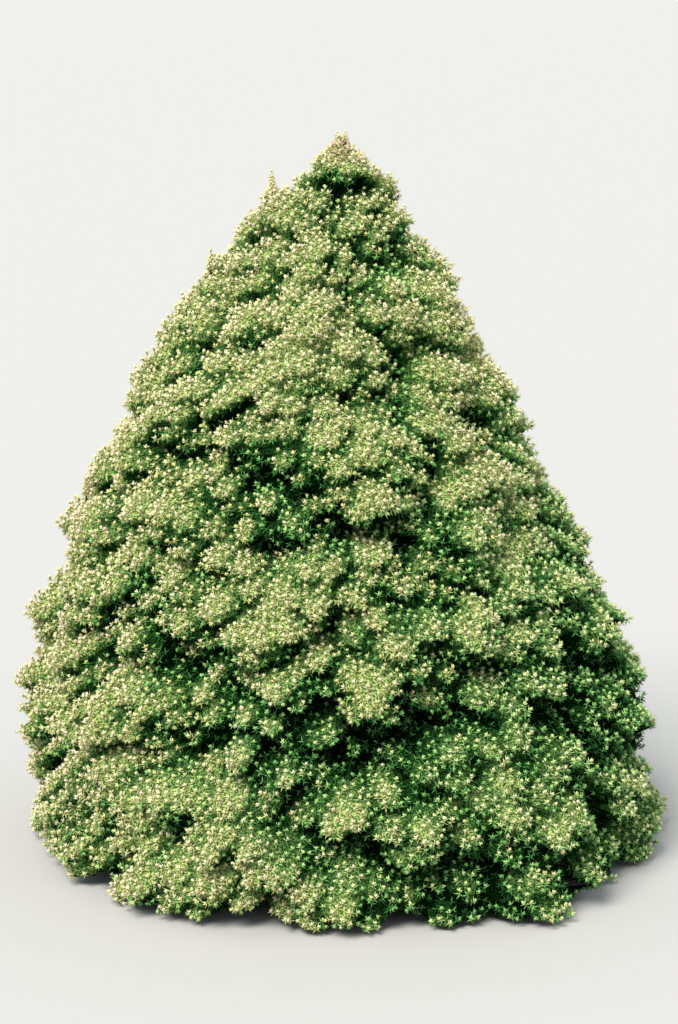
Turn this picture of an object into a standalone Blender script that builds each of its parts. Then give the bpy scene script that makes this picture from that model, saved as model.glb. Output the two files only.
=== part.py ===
"""White spruce, a dwarf cone-shaped tree: a hidden trunk and boughs that carry dense cushions of needles.

Metres, +Z up. The origin is the middle of the flat cut under the trunk, at ground level.
Azimuths are degrees from -Y, the front of the tree, towards +X, its right side.
"""

import math
import random
from dataclasses import dataclass

import bmesh
import bpy
from mathutils import Matrix, Vector

# The whole tree
HEIGHT = 1.142
CROWN_RADIUS = 0.538
CROWN_SHOULDER = 1.65
CROWN_POINT = 0.82
SWAY = 0.037
SWAY_HEIGHT = 1.6
SEED = 11

# The trunk, from its flat cut to its tip under the top cushion
TRUNK_TIP_HEIGHT = 0.955
TRUNK_FOOT_RADIUS = 0.027
TRUNK_TIP_RADIUS = 0.005
FLARE_RADIUS = 0.02
FLARE_HEIGHT = 0.045
FLARE_ROOTS = 5
ROOT_SWELL = 0.16
TRUNK_RINGS = 13
BELOW_CUT = -0.03

# Joints between pieces, and the room that each cushion keeps to itself
CLEARANCE = 0.0003
SPACE_MARGIN = 0.0015
GROUND_GAP = 0.004
TRUNK_GAP = 0.008

# Boughs
BOUGH_ROOT_RADIUS = 0.0095
BOUGH_TIP_SHARE = 0.6
BOUGH_PER_TRUNK = 0.42
BOUGH_RISE = 0.3
BOUGH_SAG = 0.06
BOUGH_POINTS = 6
LOWEST_BOUGH = 0.045
BOUGH_STAGGER = 0.016

# Cushions of foliage. Their cores stay this far under the surface that the sprays reach.
CORE_INSET = 0.016
CORE_SIDES = 12
CORE_RINGS = 8
CORE_CROWDING = 1.3
DEPTH = 0.12
DEPTH_PER_RADIUS = 0.08
CREST_DEPTH = 0.75
HEIGHT_JITTER = 0.12
OVERLAP_ACROSS = 0.92
OVERLAP_UP = 1.0
INNER_DEPTH = 0.75
SOFTNESS = 7
STEM_SHOWS = 0.03
STEM_RADIUS = 0.0055
CREST_STEM_DROP = 0.5
FORKS = 4
FORK_CAP = math.radians(70)
FORK_SHARE = 0.4
LUMPS = 8
LUMP_CAP = math.radians(78)
LUMP_RADIUS = 0.058
LUMP_BULGE = 0.02

# Sprays of needles, each standing for some thirty real shoots
SPRAY_TRIES = 90
SPRAY_SPACING = 0.088
SPRAY_CAP = math.radians(110)
SPRAY_OVER = 0.012
HEAD_LENGTH = 0.026
TIP_LENGTH = 0.01
TWIG_RADIUS = 0.005
WHORLS = 2
NEEDLE_REACH = 0.022
NEEDLE_RISE = 0.016
NEEDLE_TWIST = math.radians(28)
SPRAY_SCALES = (1.0, 0.8, 0.65)

GOLDEN_ANGLE = math.pi * (3 - math.sqrt(5))

# Facets: bevel resolution of the curves, welding distance, and angles taken as flat and as sharp
TRUNK_RESOLUTION = 4
LIMB_RESOLUTION = 1
WELD = 0.00002
FLAT_ANGLE = math.radians(4)
SHARP_ANGLE = math.radians(35)

# Each tier of cushions: name, height of their middles, whether boughs carry them, and their azimuths.
# The crest's cushions stand on the trunk itself.
TIERS = (
    ("skirt", 0.12, True, (-76, -37, 3, 46, 96, 138, 176, 212, 250)),
    ("lower", 0.36, True, (-68, -14, 38, 90, 142, 196, 246)),
    ("middle", 0.565, True, (-42, 12, 64, 124, 186, 250)),
    ("upper", 0.745, True, (-12, 66, 136, 206, 278)),
    ("crest", 0.905, False, (36, 156, 276)),
)
TOP_MIDDLE = 1.02
TOP_WIDTH = 0.1
TOP_SHIFT = 0.022

# Masses that carry an upright leading shoot, and where its tip is
LEADERS = {"top_foliage": (0, 0, HEIGHT), "crest_foliage_3": (-0.11, -0.01, 1.075)}
LEADER_RADIUS = 0.022
LEADER_RAISE = 0.058

# Looks: colour and roughness
BARK = ((0.20, 0.13, 0.09), 0.9)
NEEDLES = (
    ((0.47, 0.50, 0.20), 0.6),
    ((0.33, 0.41, 0.15), 0.6),
    ((0.60, 0.57, 0.32), 0.6),
)


@dataclass
class Cushion:
    """One mass of foliage: where it is, which way it faces, and how far it reaches."""

    name: str
    middle: Vector
    out: Vector
    across: Vector
    up: Vector
    half_out: float
    half_across: float
    half_up: float
    lumps: list
    on_bough: bool
    walls: list

    def reach(self, way):
        """How far the cushion's surface lies from its middle, looking along way."""
        outward = way.dot(self.out)
        depth = self.half_out if outward > 0 else self.half_out * INNER_DEPTH
        squares = (outward / depth) ** 2
        squares += (way.dot(self.across) / self.half_across) ** 2
        squares += (way.dot(self.up) / self.half_up) ** 2
        best = soft_least(1 / math.sqrt(squares), crown_distance(self.middle, way))
        for offset, radius in self.lumps:
            along = way.dot(offset)
            inside = along * along - offset.length_squared + radius * radius
            if inside > 0:
                best = max(best, along + math.sqrt(inside))
        return best

    def room(self, way):
        """How far the cushion's own space goes along way, up to its flat walls."""
        far = 10.0
        for normal, distance in self.walls:
            slope = way.dot(normal)
            if slope > 1e-6:
                far = min(far, distance / slope)
        return far

    def holds(self, point):
        return all((point - self.middle).dot(normal) < distance for normal, distance in self.walls)


def crown_radius(height):
    """The rounded cone that the cushions fill out to."""
    share = min(max(height / HEIGHT, 0), 1)
    return CROWN_RADIUS * (1 - share**CROWN_SHOULDER) ** CROWN_POINT


def crown_distance(start, way):
    """How far the crown's surface lies from a point inside it, looking along way."""
    near, far = 0.0, 0.6
    for _ in range(14):
        halfway = (near + far) / 2
        spot = start + way * halfway
        axis = axis_point(spot.z)
        if math.hypot(spot.x - axis.x, spot.y) < crown_radius(spot.z):
            near = halfway
        else:
            far = halfway
    return near


def soft_least(one, other):
    """The smaller of two lengths, rounded off where they are nearly alike."""
    return (one**-SOFTNESS + other**-SOFTNESS) ** (-1 / SOFTNESS)


def crown_tilt(height):
    """How far the crown's surface leans back from upright, in radians."""
    step = 0.01
    return math.atan2(crown_radius(height - step) - crown_radius(height + step), 2 * step)


def axis_point(height):
    """The middle of the crown, which bows left above half height and stands plumb at the ground."""
    share = min(max(height / HEIGHT, 0), 1)
    return Vector((-SWAY * math.sin(math.pi * share**SWAY_HEIGHT) ** 2, 0, height))


def trunk_radius(height):
    taper = TRUNK_FOOT_RADIUS + (TRUNK_TIP_RADIUS - TRUNK_FOOT_RADIUS) * height / TRUNK_TIP_HEIGHT
    return taper + FLARE_RADIUS * math.exp(-max(height, 0) / FLARE_HEIGHT)


def spread_ways(count, axis, cap):
    """count directions spread evenly round axis, out to the half angle cap."""
    turn = axis.to_track_quat("Z", "Y")
    for i in range(count):
        cosine = 1 - (1 - math.cos(cap)) * (i + 0.5) / count
        sine = math.sqrt(1 - cosine * cosine)
        angle = i * GOLDEN_ANGLE
        yield turn @ Vector((sine * math.cos(angle), sine * math.sin(angle), cosine))


def facing(azimuth, tilt):
    """Unit vectors out of, across and up the crown's surface at an azimuth."""
    level = Vector((math.sin(azimuth), -math.cos(azimuth), 0))
    out = level * math.cos(tilt) + Vector((0, 0, math.sin(tilt)))
    across = Vector((math.cos(azimuth), math.sin(azimuth), 0))
    return out, across, out.cross(across)


def lumps_for(cushion, rng):
    """Smaller round lumps on the outer side, which make it billow."""
    lumps = []
    for way in spread_ways(LUMPS, cushion.out, LUMP_CAP):
        radius = LUMP_RADIUS * rng.uniform(0.8, 1.15)
        bulge = LUMP_BULGE * rng.uniform(0.1, 1.3)
        lumps.append((way * (cushion.reach(way) + bulge - radius), radius))
    if cushion.name in LEADERS:
        tip = Vector(LEADERS[cushion.name]) - Vector((0, 0, LEADER_RADIUS + CORE_INSET))
        lumps.append((tip - cushion.middle, LEADER_RADIUS + CORE_INSET))
    return lumps


def plan_cushions():
    """Places every cushion, tier by tier, and gives each its own space."""
    rng = random.Random(SEED)
    cushions = []
    heights = [tier[1] for tier in TIERS] + [TOP_MIDDLE]
    for number, (tier, height, on_bough, azimuths) in enumerate(TIERS):
        rise = heights[number + 1] - height
        radius = crown_radius(height)
        half_out = DEPTH + DEPTH_PER_RADIUS * radius
        for i, degrees in enumerate(azimuths):
            name = f"{tier}_foliage_{i + 1}"
            between = (azimuths[(i + 1) % len(azimuths)] - azimuths[i - 1]) % 360 / 2
            spacing = math.radians(between) * (radius - half_out / 2)
            middle_height = height + rise * rng.uniform(-HEIGHT_JITTER, HEIGHT_JITTER)
            if name in LEADERS:
                middle_height = height + LEADER_RAISE
            tilt = crown_tilt(middle_height)
            out, across, up = facing(math.radians(degrees), tilt)
            depth = half_out * (1 if on_bough else CREST_DEPTH)
            level = Vector((out.x, out.y, 0)).normalized()
            reach = crown_radius(middle_height) - depth / math.cos(tilt) * rng.uniform(0.88, 0.98)
            middle = axis_point(middle_height) + level * reach
            halves = (depth, spacing * OVERLAP_ACROSS, rise * OVERLAP_UP)
            cushions.append(Cushion(name, middle, out, across, up, *halves, [], on_bough, []))
    out, across, up = facing(0, math.radians(90))
    halves = (HEIGHT - TOP_MIDDLE, TOP_WIDTH, TOP_WIDTH)
    middle = axis_point(TOP_MIDDLE) + Vector((TOP_SHIFT, 0, 0))
    top = Cushion("top_foliage", middle, out, across, up, *halves, [], False, [])
    cushions.append(top)
    for cushion in cushions:
        cushion.lumps = lumps_for(cushion, rng)
    for cushion in cushions:
        wall_off(cushion, cushions)
    return cushions


def wall_off(cushion, cushions):
    """Flat walls between a cushion and its neighbours, the ground and the trunk bound its own space."""
    for other in cushions:
        if other is cushion:
            continue
        gap = other.middle - cushion.middle
        way = gap.normalized()
        mine, theirs = cushion.reach(way), other.reach(-way)
        share = mine / (mine + theirs)
        cushion.walls.append((way, gap.length * share - SPACE_MARGIN))
    cushion.walls.append((Vector((0, 0, -1)), cushion.middle.z - GROUND_GAP))
    if cushion.name == "top_foliage":
        below = cushion.middle.z - TRUNK_TIP_HEIGHT - TRUNK_GAP
        cushion.walls.append((Vector((0, 0, -1)), below))
        return
    level = Vector((cushion.out.x, cushion.out.y, 0)).normalized()
    axis_gap = (cushion.middle - axis_point(cushion.middle.z)).dot(level)
    trunk_room = trunk_radius(cushion.middle.z - cushion.half_up) + TRUNK_GAP
    cushion.walls.append((-level, axis_gap - trunk_room))


def collection_named(name):
    collection = bpy.data.collections.new(name)
    bpy.context.scene.collection.children.link(collection)
    return collection


def new_object(name, mesh, collection):
    thing = bpy.data.objects.new(name, mesh)
    collection.objects.link(thing)
    return thing


def mesh_from(shape, name):
    mesh = bpy.data.meshes.new(name)
    shape.to_mesh(mesh)
    shape.free()
    return mesh


def paint(thing, look):
    """Smooth shading and a plain Principled material of the piece's own."""
    colour, roughness = look
    material = bpy.data.materials.new(thing.name + "_finish")
    material.use_nodes = True
    shader = material.node_tree.nodes["Principled BSDF"]
    shader.inputs["Base Color"].default_value = (*colour, 1)
    shader.inputs["Roughness"].default_value = roughness
    shader.inputs["Metallic"].default_value = 0
    thing.data.materials.clear()
    thing.data.materials.append(material)
    thing.data.shade_smooth()
    thing.data.set_sharp_from_angle(angle=SHARP_ANGLE)


def hang_on(thing, carrier):
    """Parents a piece to the limb that carries it, where the piece already stands."""
    bpy.context.view_layer.update()
    thing.parent = carrier
    thing.matrix_parent_inverse = carrier.matrix_world.inverted()


def limb(points, radii, name, collection, bevel_resolution, origin=Vector()):
    """A tapering round limb along a line of points, as a welded mesh object with its own origin."""
    curve = bpy.data.curves.new(name + "_line", "CURVE")
    curve.dimensions = "3D"
    curve.bevel_depth = 1
    curve.bevel_resolution = bevel_resolution
    curve.use_fill_caps = True
    spline = curve.splines.new("POLY")
    spline.points.add(len(points) - 1)
    for spot, point, radius in zip(spline.points, points, radii):
        spot.co = (*(point - origin), 1)
        spot.radius = radius
    line = new_object(name + "_line", curve, collection)
    mesh = applied_mesh(line)
    bpy.data.objects.remove(line)
    bpy.data.curves.remove(curve)
    shape = bmesh.new()
    shape.from_mesh(mesh)
    bpy.data.meshes.remove(mesh)
    bmesh.ops.remove_doubles(shape, verts=shape.verts, dist=WELD)
    bmesh.ops.recalc_face_normals(shape, faces=shape.faces)
    thing = new_object(name, mesh_from(shape, name), collection)
    thing.location = origin
    return thing


def applied_mesh(thing):
    """A mesh of the object as its modifiers leave it."""
    graph = bpy.context.evaluated_depsgraph_get()
    return bpy.data.meshes.new_from_object(thing.evaluated_get(graph))


def apply_modifiers(thing):
    mesh = applied_mesh(thing)
    thing.modifiers.clear()
    old = thing.data
    thing.data = mesh
    bpy.data.meshes.remove(old)


def make_trunk(name, collection, extra=0.0):
    """The whole trunk with its root flare, its tip, and the way its tip points.

    extra swells it, for cutting what must stand clear of it.
    """
    points, radii = [], []
    for i in range(TRUNK_RINGS + 1):
        share = (i / TRUNK_RINGS) ** 1.5
        height = BELOW_CUT + (TRUNK_TIP_HEIGHT - BELOW_CUT) * share
        points.append(axis_point(height))
        radii.append(trunk_radius(height) + extra)
    points[-1].z += extra
    trunk = limb(points, radii, name, collection, TRUNK_RESOLUTION)
    shape = bmesh.new()
    shape.from_mesh(trunk.data)
    for spot in shape.verts:
        axis = axis_point(spot.co.z)
        level = Vector((spot.co.x - axis.x, spot.co.y, 0))
        root = math.cos(FLARE_ROOTS * math.atan2(level.y, level.x))
        spot.co += level * ROOT_SWELL * root * math.exp(-max(spot.co.z, 0) / FLARE_HEIGHT)
    sides = [face for face in shape.faces if len(face.verts) == 4]
    bmesh.ops.triangulate(shape, faces=sides, quad_method="FIXED")
    parts = shape.verts[:] + shape.edges[:] + shape.faces[:]
    cut = bmesh.ops.bisect_plane(
        shape, geom=parts, plane_co=(0, 0, 0), plane_no=(0, 0, -1), clear_outer=True
    )
    rim = [part for part in cut["geom_cut"] if isinstance(part, bmesh.types.BMEdge)]
    bmesh.ops.contextual_create(shape, geom=rim)
    bmesh.ops.recalc_face_normals(shape, faces=shape.faces)
    shape.to_mesh(trunk.data)
    shape.free()
    return trunk, points[-1], (points[-1] - points[-2]).normalized()


def make_bough(cushion, swollen_trunk, collection):
    """One tapering limb from the trunk to just short of its cushion, its tip, and the way that points."""
    level = Vector((cushion.out.x, cushion.out.y, 0)).normalized()
    inner = cushion.middle - cushion.out * (skin(cushion, -cushion.out) + STEM_SHOWS)
    run = (inner - axis_point(inner.z)).dot(level)
    stagger = BOUGH_STAGGER * (1 if int(cushion.name[-1]) % 2 else -1)
    root_height = max(inner.z - run * BOUGH_RISE + stagger, LOWEST_BOUGH + max(stagger, 0))
    root = axis_point(root_height)
    bend = root.lerp(inner, 0.5) - Vector((0, 0, run * BOUGH_SAG))
    points = []
    for i in range(BOUGH_POINTS):
        share = i / (BOUGH_POINTS - 1)
        points.append(root.lerp(bend, share).lerp(bend.lerp(inner, share), share))
    slim = 0.55 + 0.45 * crown_radius(cushion.middle.z) / CROWN_RADIUS
    thickest = min(BOUGH_ROOT_RADIUS * slim, trunk_radius(root_height) * BOUGH_PER_TRUNK)
    radii = [
        thickest * (1 - (1 - BOUGH_TIP_SHARE) * i / (BOUGH_POINTS - 1)) for i in range(BOUGH_POINTS)
    ]
    name = cushion.name.replace("foliage", "bough")
    bough = limb(points, radii, name, collection, LIMB_RESOLUTION, root)
    cut_clear(bough, swollen_trunk)
    return bough, points[-1], (points[-1] - points[-2]).normalized()


def cut_clear(thing, cutter):
    """Cuts a piece's root to the trunk's surface, a hair clear of it."""
    cut = thing.modifiers.new("clear of the trunk", "BOOLEAN")
    cut.operation = "DIFFERENCE"
    cut.object = cutter
    apply_modifiers(thing)


def make_core(cushion, collection):
    """The dense heart of a cushion, which its twigs and needles stand out of."""
    shape = bmesh.new()
    bmesh.ops.create_uvsphere(shape, u_segments=CORE_SIDES, v_segments=CORE_RINGS, radius=1)
    turn = cushion.out.to_track_quat("Z", "Y")
    for spot in shape.verts:
        way = spot.co.normalized()
        angle = math.acos(min(max(way.z, -1), 1))
        crowded = math.pi * (angle / math.pi) ** CORE_CROWDING
        level = Vector((way.x, way.y, 0)).normalized() * math.sin(crowded)
        way = turn @ Vector((level.x, level.y, math.cos(crowded)))
        spot.co = way * skin(cushion, way)
    bmesh.ops.dissolve_limit(shape, angle_limit=FLAT_ANGLE, verts=shape.verts, edges=shape.edges)
    core = new_object(cushion.name, mesh_from(shape, cushion.name), collection)
    core.location = cushion.middle
    return core


def spray_shape(length, scale, spin):
    """A three-sided twig with whorls of needles drawn out of its end's sides, and one out of its tip."""
    shape = bmesh.new()
    head = HEAD_LENGTH * scale
    bmesh.ops.create_cone(
        shape,
        cap_ends=True,
        segments=3,
        radius1=TWIG_RADIUS * scale,
        radius2=TWIG_RADIUS * scale,
        depth=length - head,
        matrix=Matrix.Translation((0, 0, (length - head) / 2)),
    )
    end = max(shape.faces, key=lambda face: face.calc_center_median().z)
    step = (HEAD_LENGTH - TIP_LENGTH) / WHORLS * scale
    for whorl in range(WHORLS):
        sides = bmesh.ops.inset_individual(shape, faces=[end], thickness=0, depth=step)["faces"]
        twist = Matrix.Rotation(NEEDLE_TWIST * (1 - 2 * (whorl % 2)), 3, "Z")
        for needle in bmesh.ops.poke(shape, faces=sides)["verts"]:
            outward = Vector((needle.co.x, needle.co.y, 0)).normalized()
            needle.co += twist @ outward * NEEDLE_REACH * scale * (1 - 0.3 * whorl)
            needle.co.z += NEEDLE_RISE * scale
    tip = bmesh.ops.poke(shape, faces=[end])["verts"][0]
    tip.co.z = length
    bmesh.ops.rotate(shape, verts=shape.verts, matrix=Matrix.Rotation(spin, 3, "Z"))
    bmesh.ops.recalc_face_normals(shape, faces=shape.faces)
    return shape


def make_stem(cushion, carrier, swollen_trunk, collection):
    """The stem that carries a cushion, face to face with the limb's tip or with the trunk's side."""
    if carrier:
        tip, way = carrier
        base = tip + way * CLEARANCE
        line = [base, base + way * STEM_SHOWS, cushion.middle]
    else:
        level = Vector((cushion.out.x, cushion.out.y, 0)).normalized()
        run = (cushion.middle - axis_point(cushion.middle.z)).dot(level)
        line = [axis_point(cushion.middle.z - run * CREST_STEM_DROP), cushion.middle]
    stem = limb(line, [STEM_RADIUS] * len(line), cushion.name + "_stem", collection, LIMB_RESOLUTION)
    if not carrier:
        cut_clear(stem, swollen_trunk)


def skin(cushion, way):
    """How far the core goes along way."""
    return min(cushion.reach(way) - CORE_INSET, cushion.room(way))


def spray_spots(cushion):
    """Open places on a cushion's surface, each as far as can be from those chosen before it."""
    spots = [
        cushion.middle + way * (cushion.reach(way) + SPRAY_OVER)
        for way in spread_ways(SPRAY_TRIES, cushion.out, SPRAY_CAP)
        if cushion.room(way) > cushion.reach(way) + SPRAY_OVER
    ]
    chosen = []
    if cushion.name in LEADERS:
        chosen.append(Vector(LEADERS[cushion.name]))
    while spots:
        gaps = [min([(spot - other).length for other in chosen], default=1) for spot in spots]
        widest = max(gaps)
        if widest < SPRAY_SPACING:
            break
        chosen.append(spots.pop(gaps.index(widest)))
    return chosen


def grow_twigs(cushion, twigs, rng):
    """The stem forks inside the core, and twigs run from the forks out to sprays at the surface."""
    forks = []
    for way in spread_ways(FORKS, cushion.out, FORK_CAP):
        fork = cushion.middle + way * skin(cushion, way) * FORK_SHARE
        name = f"{cushion.name}_branch_{len(forks)}"
        limb([cushion.middle, fork], [STEM_RADIUS, TWIG_RADIUS], name, twigs, LIMB_RESOLUTION)
        forks.append(fork)
    grown = 0
    for spot in spray_spots(cushion):
        fork = min(forks, key=lambda point: (point - spot).length)
        way = (spot - fork).normalized()
        turn = way.to_track_quat("Z", "Y").to_matrix().to_4x4()
        for scale in SPRAY_SCALES:
            shape = spray_shape((spot - fork).length, scale, rng.uniform(0, math.tau))
            bmesh.ops.transform(shape, matrix=Matrix.Translation(fork) @ turn, verts=shape.verts)
            if all(cushion.holds(corner.co) for corner in shape.verts):
                name = f"{cushion.name}_spray_{grown}"
                new_object(name, mesh_from(shape, name), twigs)
                grown += 1
                break
            shape.free()
    return grown


def make_cushion(cushion, carrier, swollen_trunk, collection, rng):
    """A core fused with its stem, twigs and sprays, by one Boolean union on a collection."""
    core = make_core(cushion, collection)
    twigs = collection_named(cushion.name + "_twigs")
    make_stem(cushion, carrier, swollen_trunk, twigs)
    grown = grow_twigs(cushion, twigs, rng)
    join = core.modifiers.new("fused", "BOOLEAN")
    join.operation = "UNION"
    join.operand_type = "COLLECTION"
    join.collection = twigs
    join.solver = "MANIFOLD"
    apply_modifiers(core)
    for twig in list(twigs.objects):
        mesh = twig.data
        bpy.data.objects.remove(twig)
        bpy.data.meshes.remove(mesh)
    bpy.data.collections.remove(twigs)
    return core, grown


def build():
    for thing in list(bpy.data.objects):
        bpy.data.objects.remove(thing)
    tree = collection_named("white_spruce")
    cutters = collection_named("cutters")
    rng = random.Random(SEED + 1)
    trunk, *trunk_end = make_trunk("trunk", tree)
    swollen_trunk, *_ = make_trunk("trunk_clearance", cutters, CLEARANCE)
    swollen_trunk.hide_render = True
    swollen_trunk.display_type = "WIRE"
    paint(trunk, BARK)
    total = 0
    for number, cushion in enumerate(plan_cushions()):
        carried_by = trunk
        carrier = trunk_end if cushion.name == "top_foliage" else None
        if cushion.on_bough:
            carried_by, *carrier = make_bough(cushion, swollen_trunk, tree)
            paint(carried_by, BARK)
            hang_on(carried_by, trunk)
        foliage, grown = make_cushion(cushion, carrier, swollen_trunk, tree, rng)
        paint(foliage, NEEDLES[number % len(NEEDLES)])
        hang_on(foliage, carried_by)
        total += grown
    print(f"{len(tree.objects)} pieces, {total} sprays")


build()
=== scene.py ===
# %% [markdown]
# A white spruce, dressed
#
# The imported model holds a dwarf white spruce: one trunk, the boughs on it, and thirty-one cushions of
# foliage. Those solids are right in place and size, but plain. This lesson grows the real surface over
# them: a trunk and boughs with bark, twigs that fork and fork again, and shoots of separate needles.
# Metres, with Z up. The origin is the middle of the trunk's foot. The front of the tree is -Y.

import math
import random
from dataclasses import dataclass, field

import bmesh
import bpy
import numpy as np
from mathutils import Matrix, Vector, kdtree, noise
from numpy.lib.stride_tricks import sliding_window_view


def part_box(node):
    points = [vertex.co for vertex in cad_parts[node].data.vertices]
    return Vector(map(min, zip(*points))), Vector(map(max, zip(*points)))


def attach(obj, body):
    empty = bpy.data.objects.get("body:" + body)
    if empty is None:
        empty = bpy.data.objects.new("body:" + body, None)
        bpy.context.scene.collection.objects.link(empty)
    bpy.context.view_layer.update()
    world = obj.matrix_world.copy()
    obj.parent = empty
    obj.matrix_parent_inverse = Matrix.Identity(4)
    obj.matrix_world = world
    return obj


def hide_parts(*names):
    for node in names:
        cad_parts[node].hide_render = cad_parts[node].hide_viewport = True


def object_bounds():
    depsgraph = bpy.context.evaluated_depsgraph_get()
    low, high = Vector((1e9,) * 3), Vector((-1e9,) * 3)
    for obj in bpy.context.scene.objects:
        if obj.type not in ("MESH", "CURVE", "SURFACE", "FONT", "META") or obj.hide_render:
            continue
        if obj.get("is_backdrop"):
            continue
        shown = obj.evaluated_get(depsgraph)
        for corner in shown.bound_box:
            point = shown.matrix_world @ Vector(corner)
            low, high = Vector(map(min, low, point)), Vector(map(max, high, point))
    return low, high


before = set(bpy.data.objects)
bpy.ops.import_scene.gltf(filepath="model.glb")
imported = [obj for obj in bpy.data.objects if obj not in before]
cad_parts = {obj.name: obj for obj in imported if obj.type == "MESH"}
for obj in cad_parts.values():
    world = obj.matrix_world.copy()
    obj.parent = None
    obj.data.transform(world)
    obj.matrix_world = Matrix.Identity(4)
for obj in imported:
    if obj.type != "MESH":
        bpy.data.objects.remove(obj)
FIRST_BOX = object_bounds()
print(f"{len(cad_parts)} solids, {FIRST_BOX[1].z:.3f} m tall")

# %% [markdown]
# The camera
#
# The photograph was taken from a standing person's eye level, a few steps away, with a long lens. So
# the camera stands 1.6 m up, 5 m off, and looks 12 degrees down. Its focal length is 3190 of the
# picture's pixels, so at 5 m each pixel covers 1.6 mm and the tree fills the upright frame.

# %% Set up the camera
EYE_HEIGHT = 1.6
EYE_DISTANCE = 5.0
LOOKS_DOWN = math.radians(12)
PHOTO_HEIGHT = 1024
FOCAL_PIXELS = 3190
SENSOR_HEIGHT = 36

lens = bpy.data.cameras.new("eye_level")
lens.sensor_fit = "VERTICAL"
lens.sensor_height = SENSOR_HEIGHT
lens.lens = SENSOR_HEIGHT * FOCAL_PIXELS / PHOTO_HEIGHT
eye = bpy.data.objects.new("eye_level", lens)
eye.location = (0, -EYE_DISTANCE, EYE_HEIGHT)
eye.rotation_euler = (math.radians(90) - LOOKS_DOWN, 0, 0)
bpy.context.scene.collection.objects.link(eye)
bpy.context.scene.camera = eye
print(f"lens {lens.lens:.1f} mm")

# %% [markdown]
# The crown's own rule
#
# A dwarf conifer fills out a rounded cone. Its foliage stands in cushions, tier above tier, each at
# the end of one bough. The solids were placed by a rule with named sizes, and the needles have to
# grow from the same places, so the rule is written here again. It could be read off the solids'
# vertices instead, but those are facets, and the rule gives a smooth surface at any direction.

# %% The crown's outline
HEIGHT = 1.142
CROWN_RADIUS = 0.538
CROWN_SHOULDER = 1.65
CROWN_POINT = 0.82
SWAY = 0.037
SWAY_HEIGHT = 1.6
GOLDEN_ANGLE = math.pi * (3 - math.sqrt(5))


def crown_radius(height):
    """The rounded cone's radius at one height or at an array of heights."""
    share = np.clip(np.asarray(height) / HEIGHT, 0, 1)
    return CROWN_RADIUS * (1 - share**CROWN_SHOULDER) ** CROWN_POINT


def crown_tilt(height):
    """How far the crown's surface leans back from upright, in radians."""
    step = 0.01
    return math.atan2(crown_radius(height - step) - crown_radius(height + step), 2 * step)


def axis_across(height):
    """How far right of plumb the crown's middle line runs."""
    share = np.clip(np.asarray(height) / HEIGHT, 0, 1)
    return -SWAY * np.sin(math.pi * share**SWAY_HEIGHT) ** 2


def axis_point(height):
    """The crown's middle at a height."""
    return np.array((float(axis_across(height)), 0.0, height))


print(f"widest {2 * float(crown_radius(0)):.3f} m across")

# %% [markdown]
# Directions
#
# To look at a rounded thing from its middle in every direction, the golden angle is handy: each
# direction turns by it from the one before, and none of them crowd. The set is spread round any axis.

# %% Spread directions evenly
UP = np.array((0.0, 0.0, 1.0))


def unit(vectors):
    """The same directions with a length of one."""
    vectors = np.asarray(vectors, float)
    return vectors / np.maximum(np.linalg.norm(vectors, axis=-1, keepdims=True), 1e-12)


def spread_ways(count, axis, cap):
    """count directions spread evenly round axis, out to the half angle cap."""
    steps = np.arange(count)
    cosine = 1 - (1 - math.cos(cap)) * (steps + 0.5) / count
    sine = np.sqrt(1 - cosine**2)
    angle = steps * GOLDEN_ANGLE
    level = np.stack([sine * np.cos(angle), sine * np.sin(angle), cosine], axis=1)
    turn = np.array(Vector(axis).to_track_quat("Z", "Y").to_matrix())
    return level @ turn.T


def facing(azimuth, tilt):
    """Unit vectors out of, across and up the crown's surface at an azimuth."""
    level = np.array((math.sin(azimuth), -math.cos(azimuth), 0.0))
    out = level * math.cos(tilt) + UP * math.sin(tilt)
    across = np.array((math.cos(azimuth), math.sin(azimuth), 0.0))
    return out, across, np.cross(out, across)


print("first of 4 ways round Z:", spread_ways(4, (0, 0, 1), math.pi)[0].round(3))

# %% [markdown]
# One cushion
#
# A cushion is a squashed ball that is softly cut off where it reaches the crown's outline, with
# smaller round lumps standing out of it, and flat walls between it and its neighbours. Its reach is
# how far its surface lies from its middle in a direction, and its room is how far its own space goes.

# %% The cushion and its reach
INNER_DEPTH = 0.75
SOFTNESS = 7
NO_WALL = 10.0
TINY = 1e-6
LONGEST_REACH = 0.6
HALVINGS = 14


@dataclass
class Cushion:
    """One mass of foliage: its middle, its own directions and its half widths along them."""

    name: str
    tier: str
    middle: np.ndarray
    turn: tuple
    halves: tuple
    on_bough: bool
    lumps: list = field(default_factory=list)
    walls: list = field(default_factory=list)

    @property
    def level(self):
        """The level direction out of the crown."""
        return unit(self.turn[0] * (1, 1, 0))

    def reach(self, ways):
        """How far the surface lies from the middle in each direction."""
        ways = np.atleast_2d(ways)
        outward, across, up = (ways @ direction for direction in self.turn)
        depth = np.where(outward > 0, self.halves[0], self.halves[0] * INNER_DEPTH)
        squares = (outward / depth) ** 2 + (across / self.halves[1]) ** 2 + (up / self.halves[2]) ** 2
        ball, crown = 1 / np.sqrt(squares), crown_distance(self.middle, ways)
        best = (ball**-SOFTNESS + crown**-SOFTNESS) ** (-1 / SOFTNESS)
        for offset, radius in self.lumps:
            along = ways @ offset
            inside = along**2 - offset @ offset + radius**2
            best = np.where(inside > 0, np.maximum(best, along + np.sqrt(np.maximum(inside, 0))), best)
        return best

    def room(self, ways):
        """How far the cushion's own space goes in each direction."""
        ways = np.atleast_2d(ways)
        far = np.full(len(ways), NO_WALL)
        for normal, distance in self.walls:
            slope = ways @ normal
            far = np.where(slope > TINY, np.minimum(far, distance / np.maximum(slope, TINY)), far)
        return far


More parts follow.
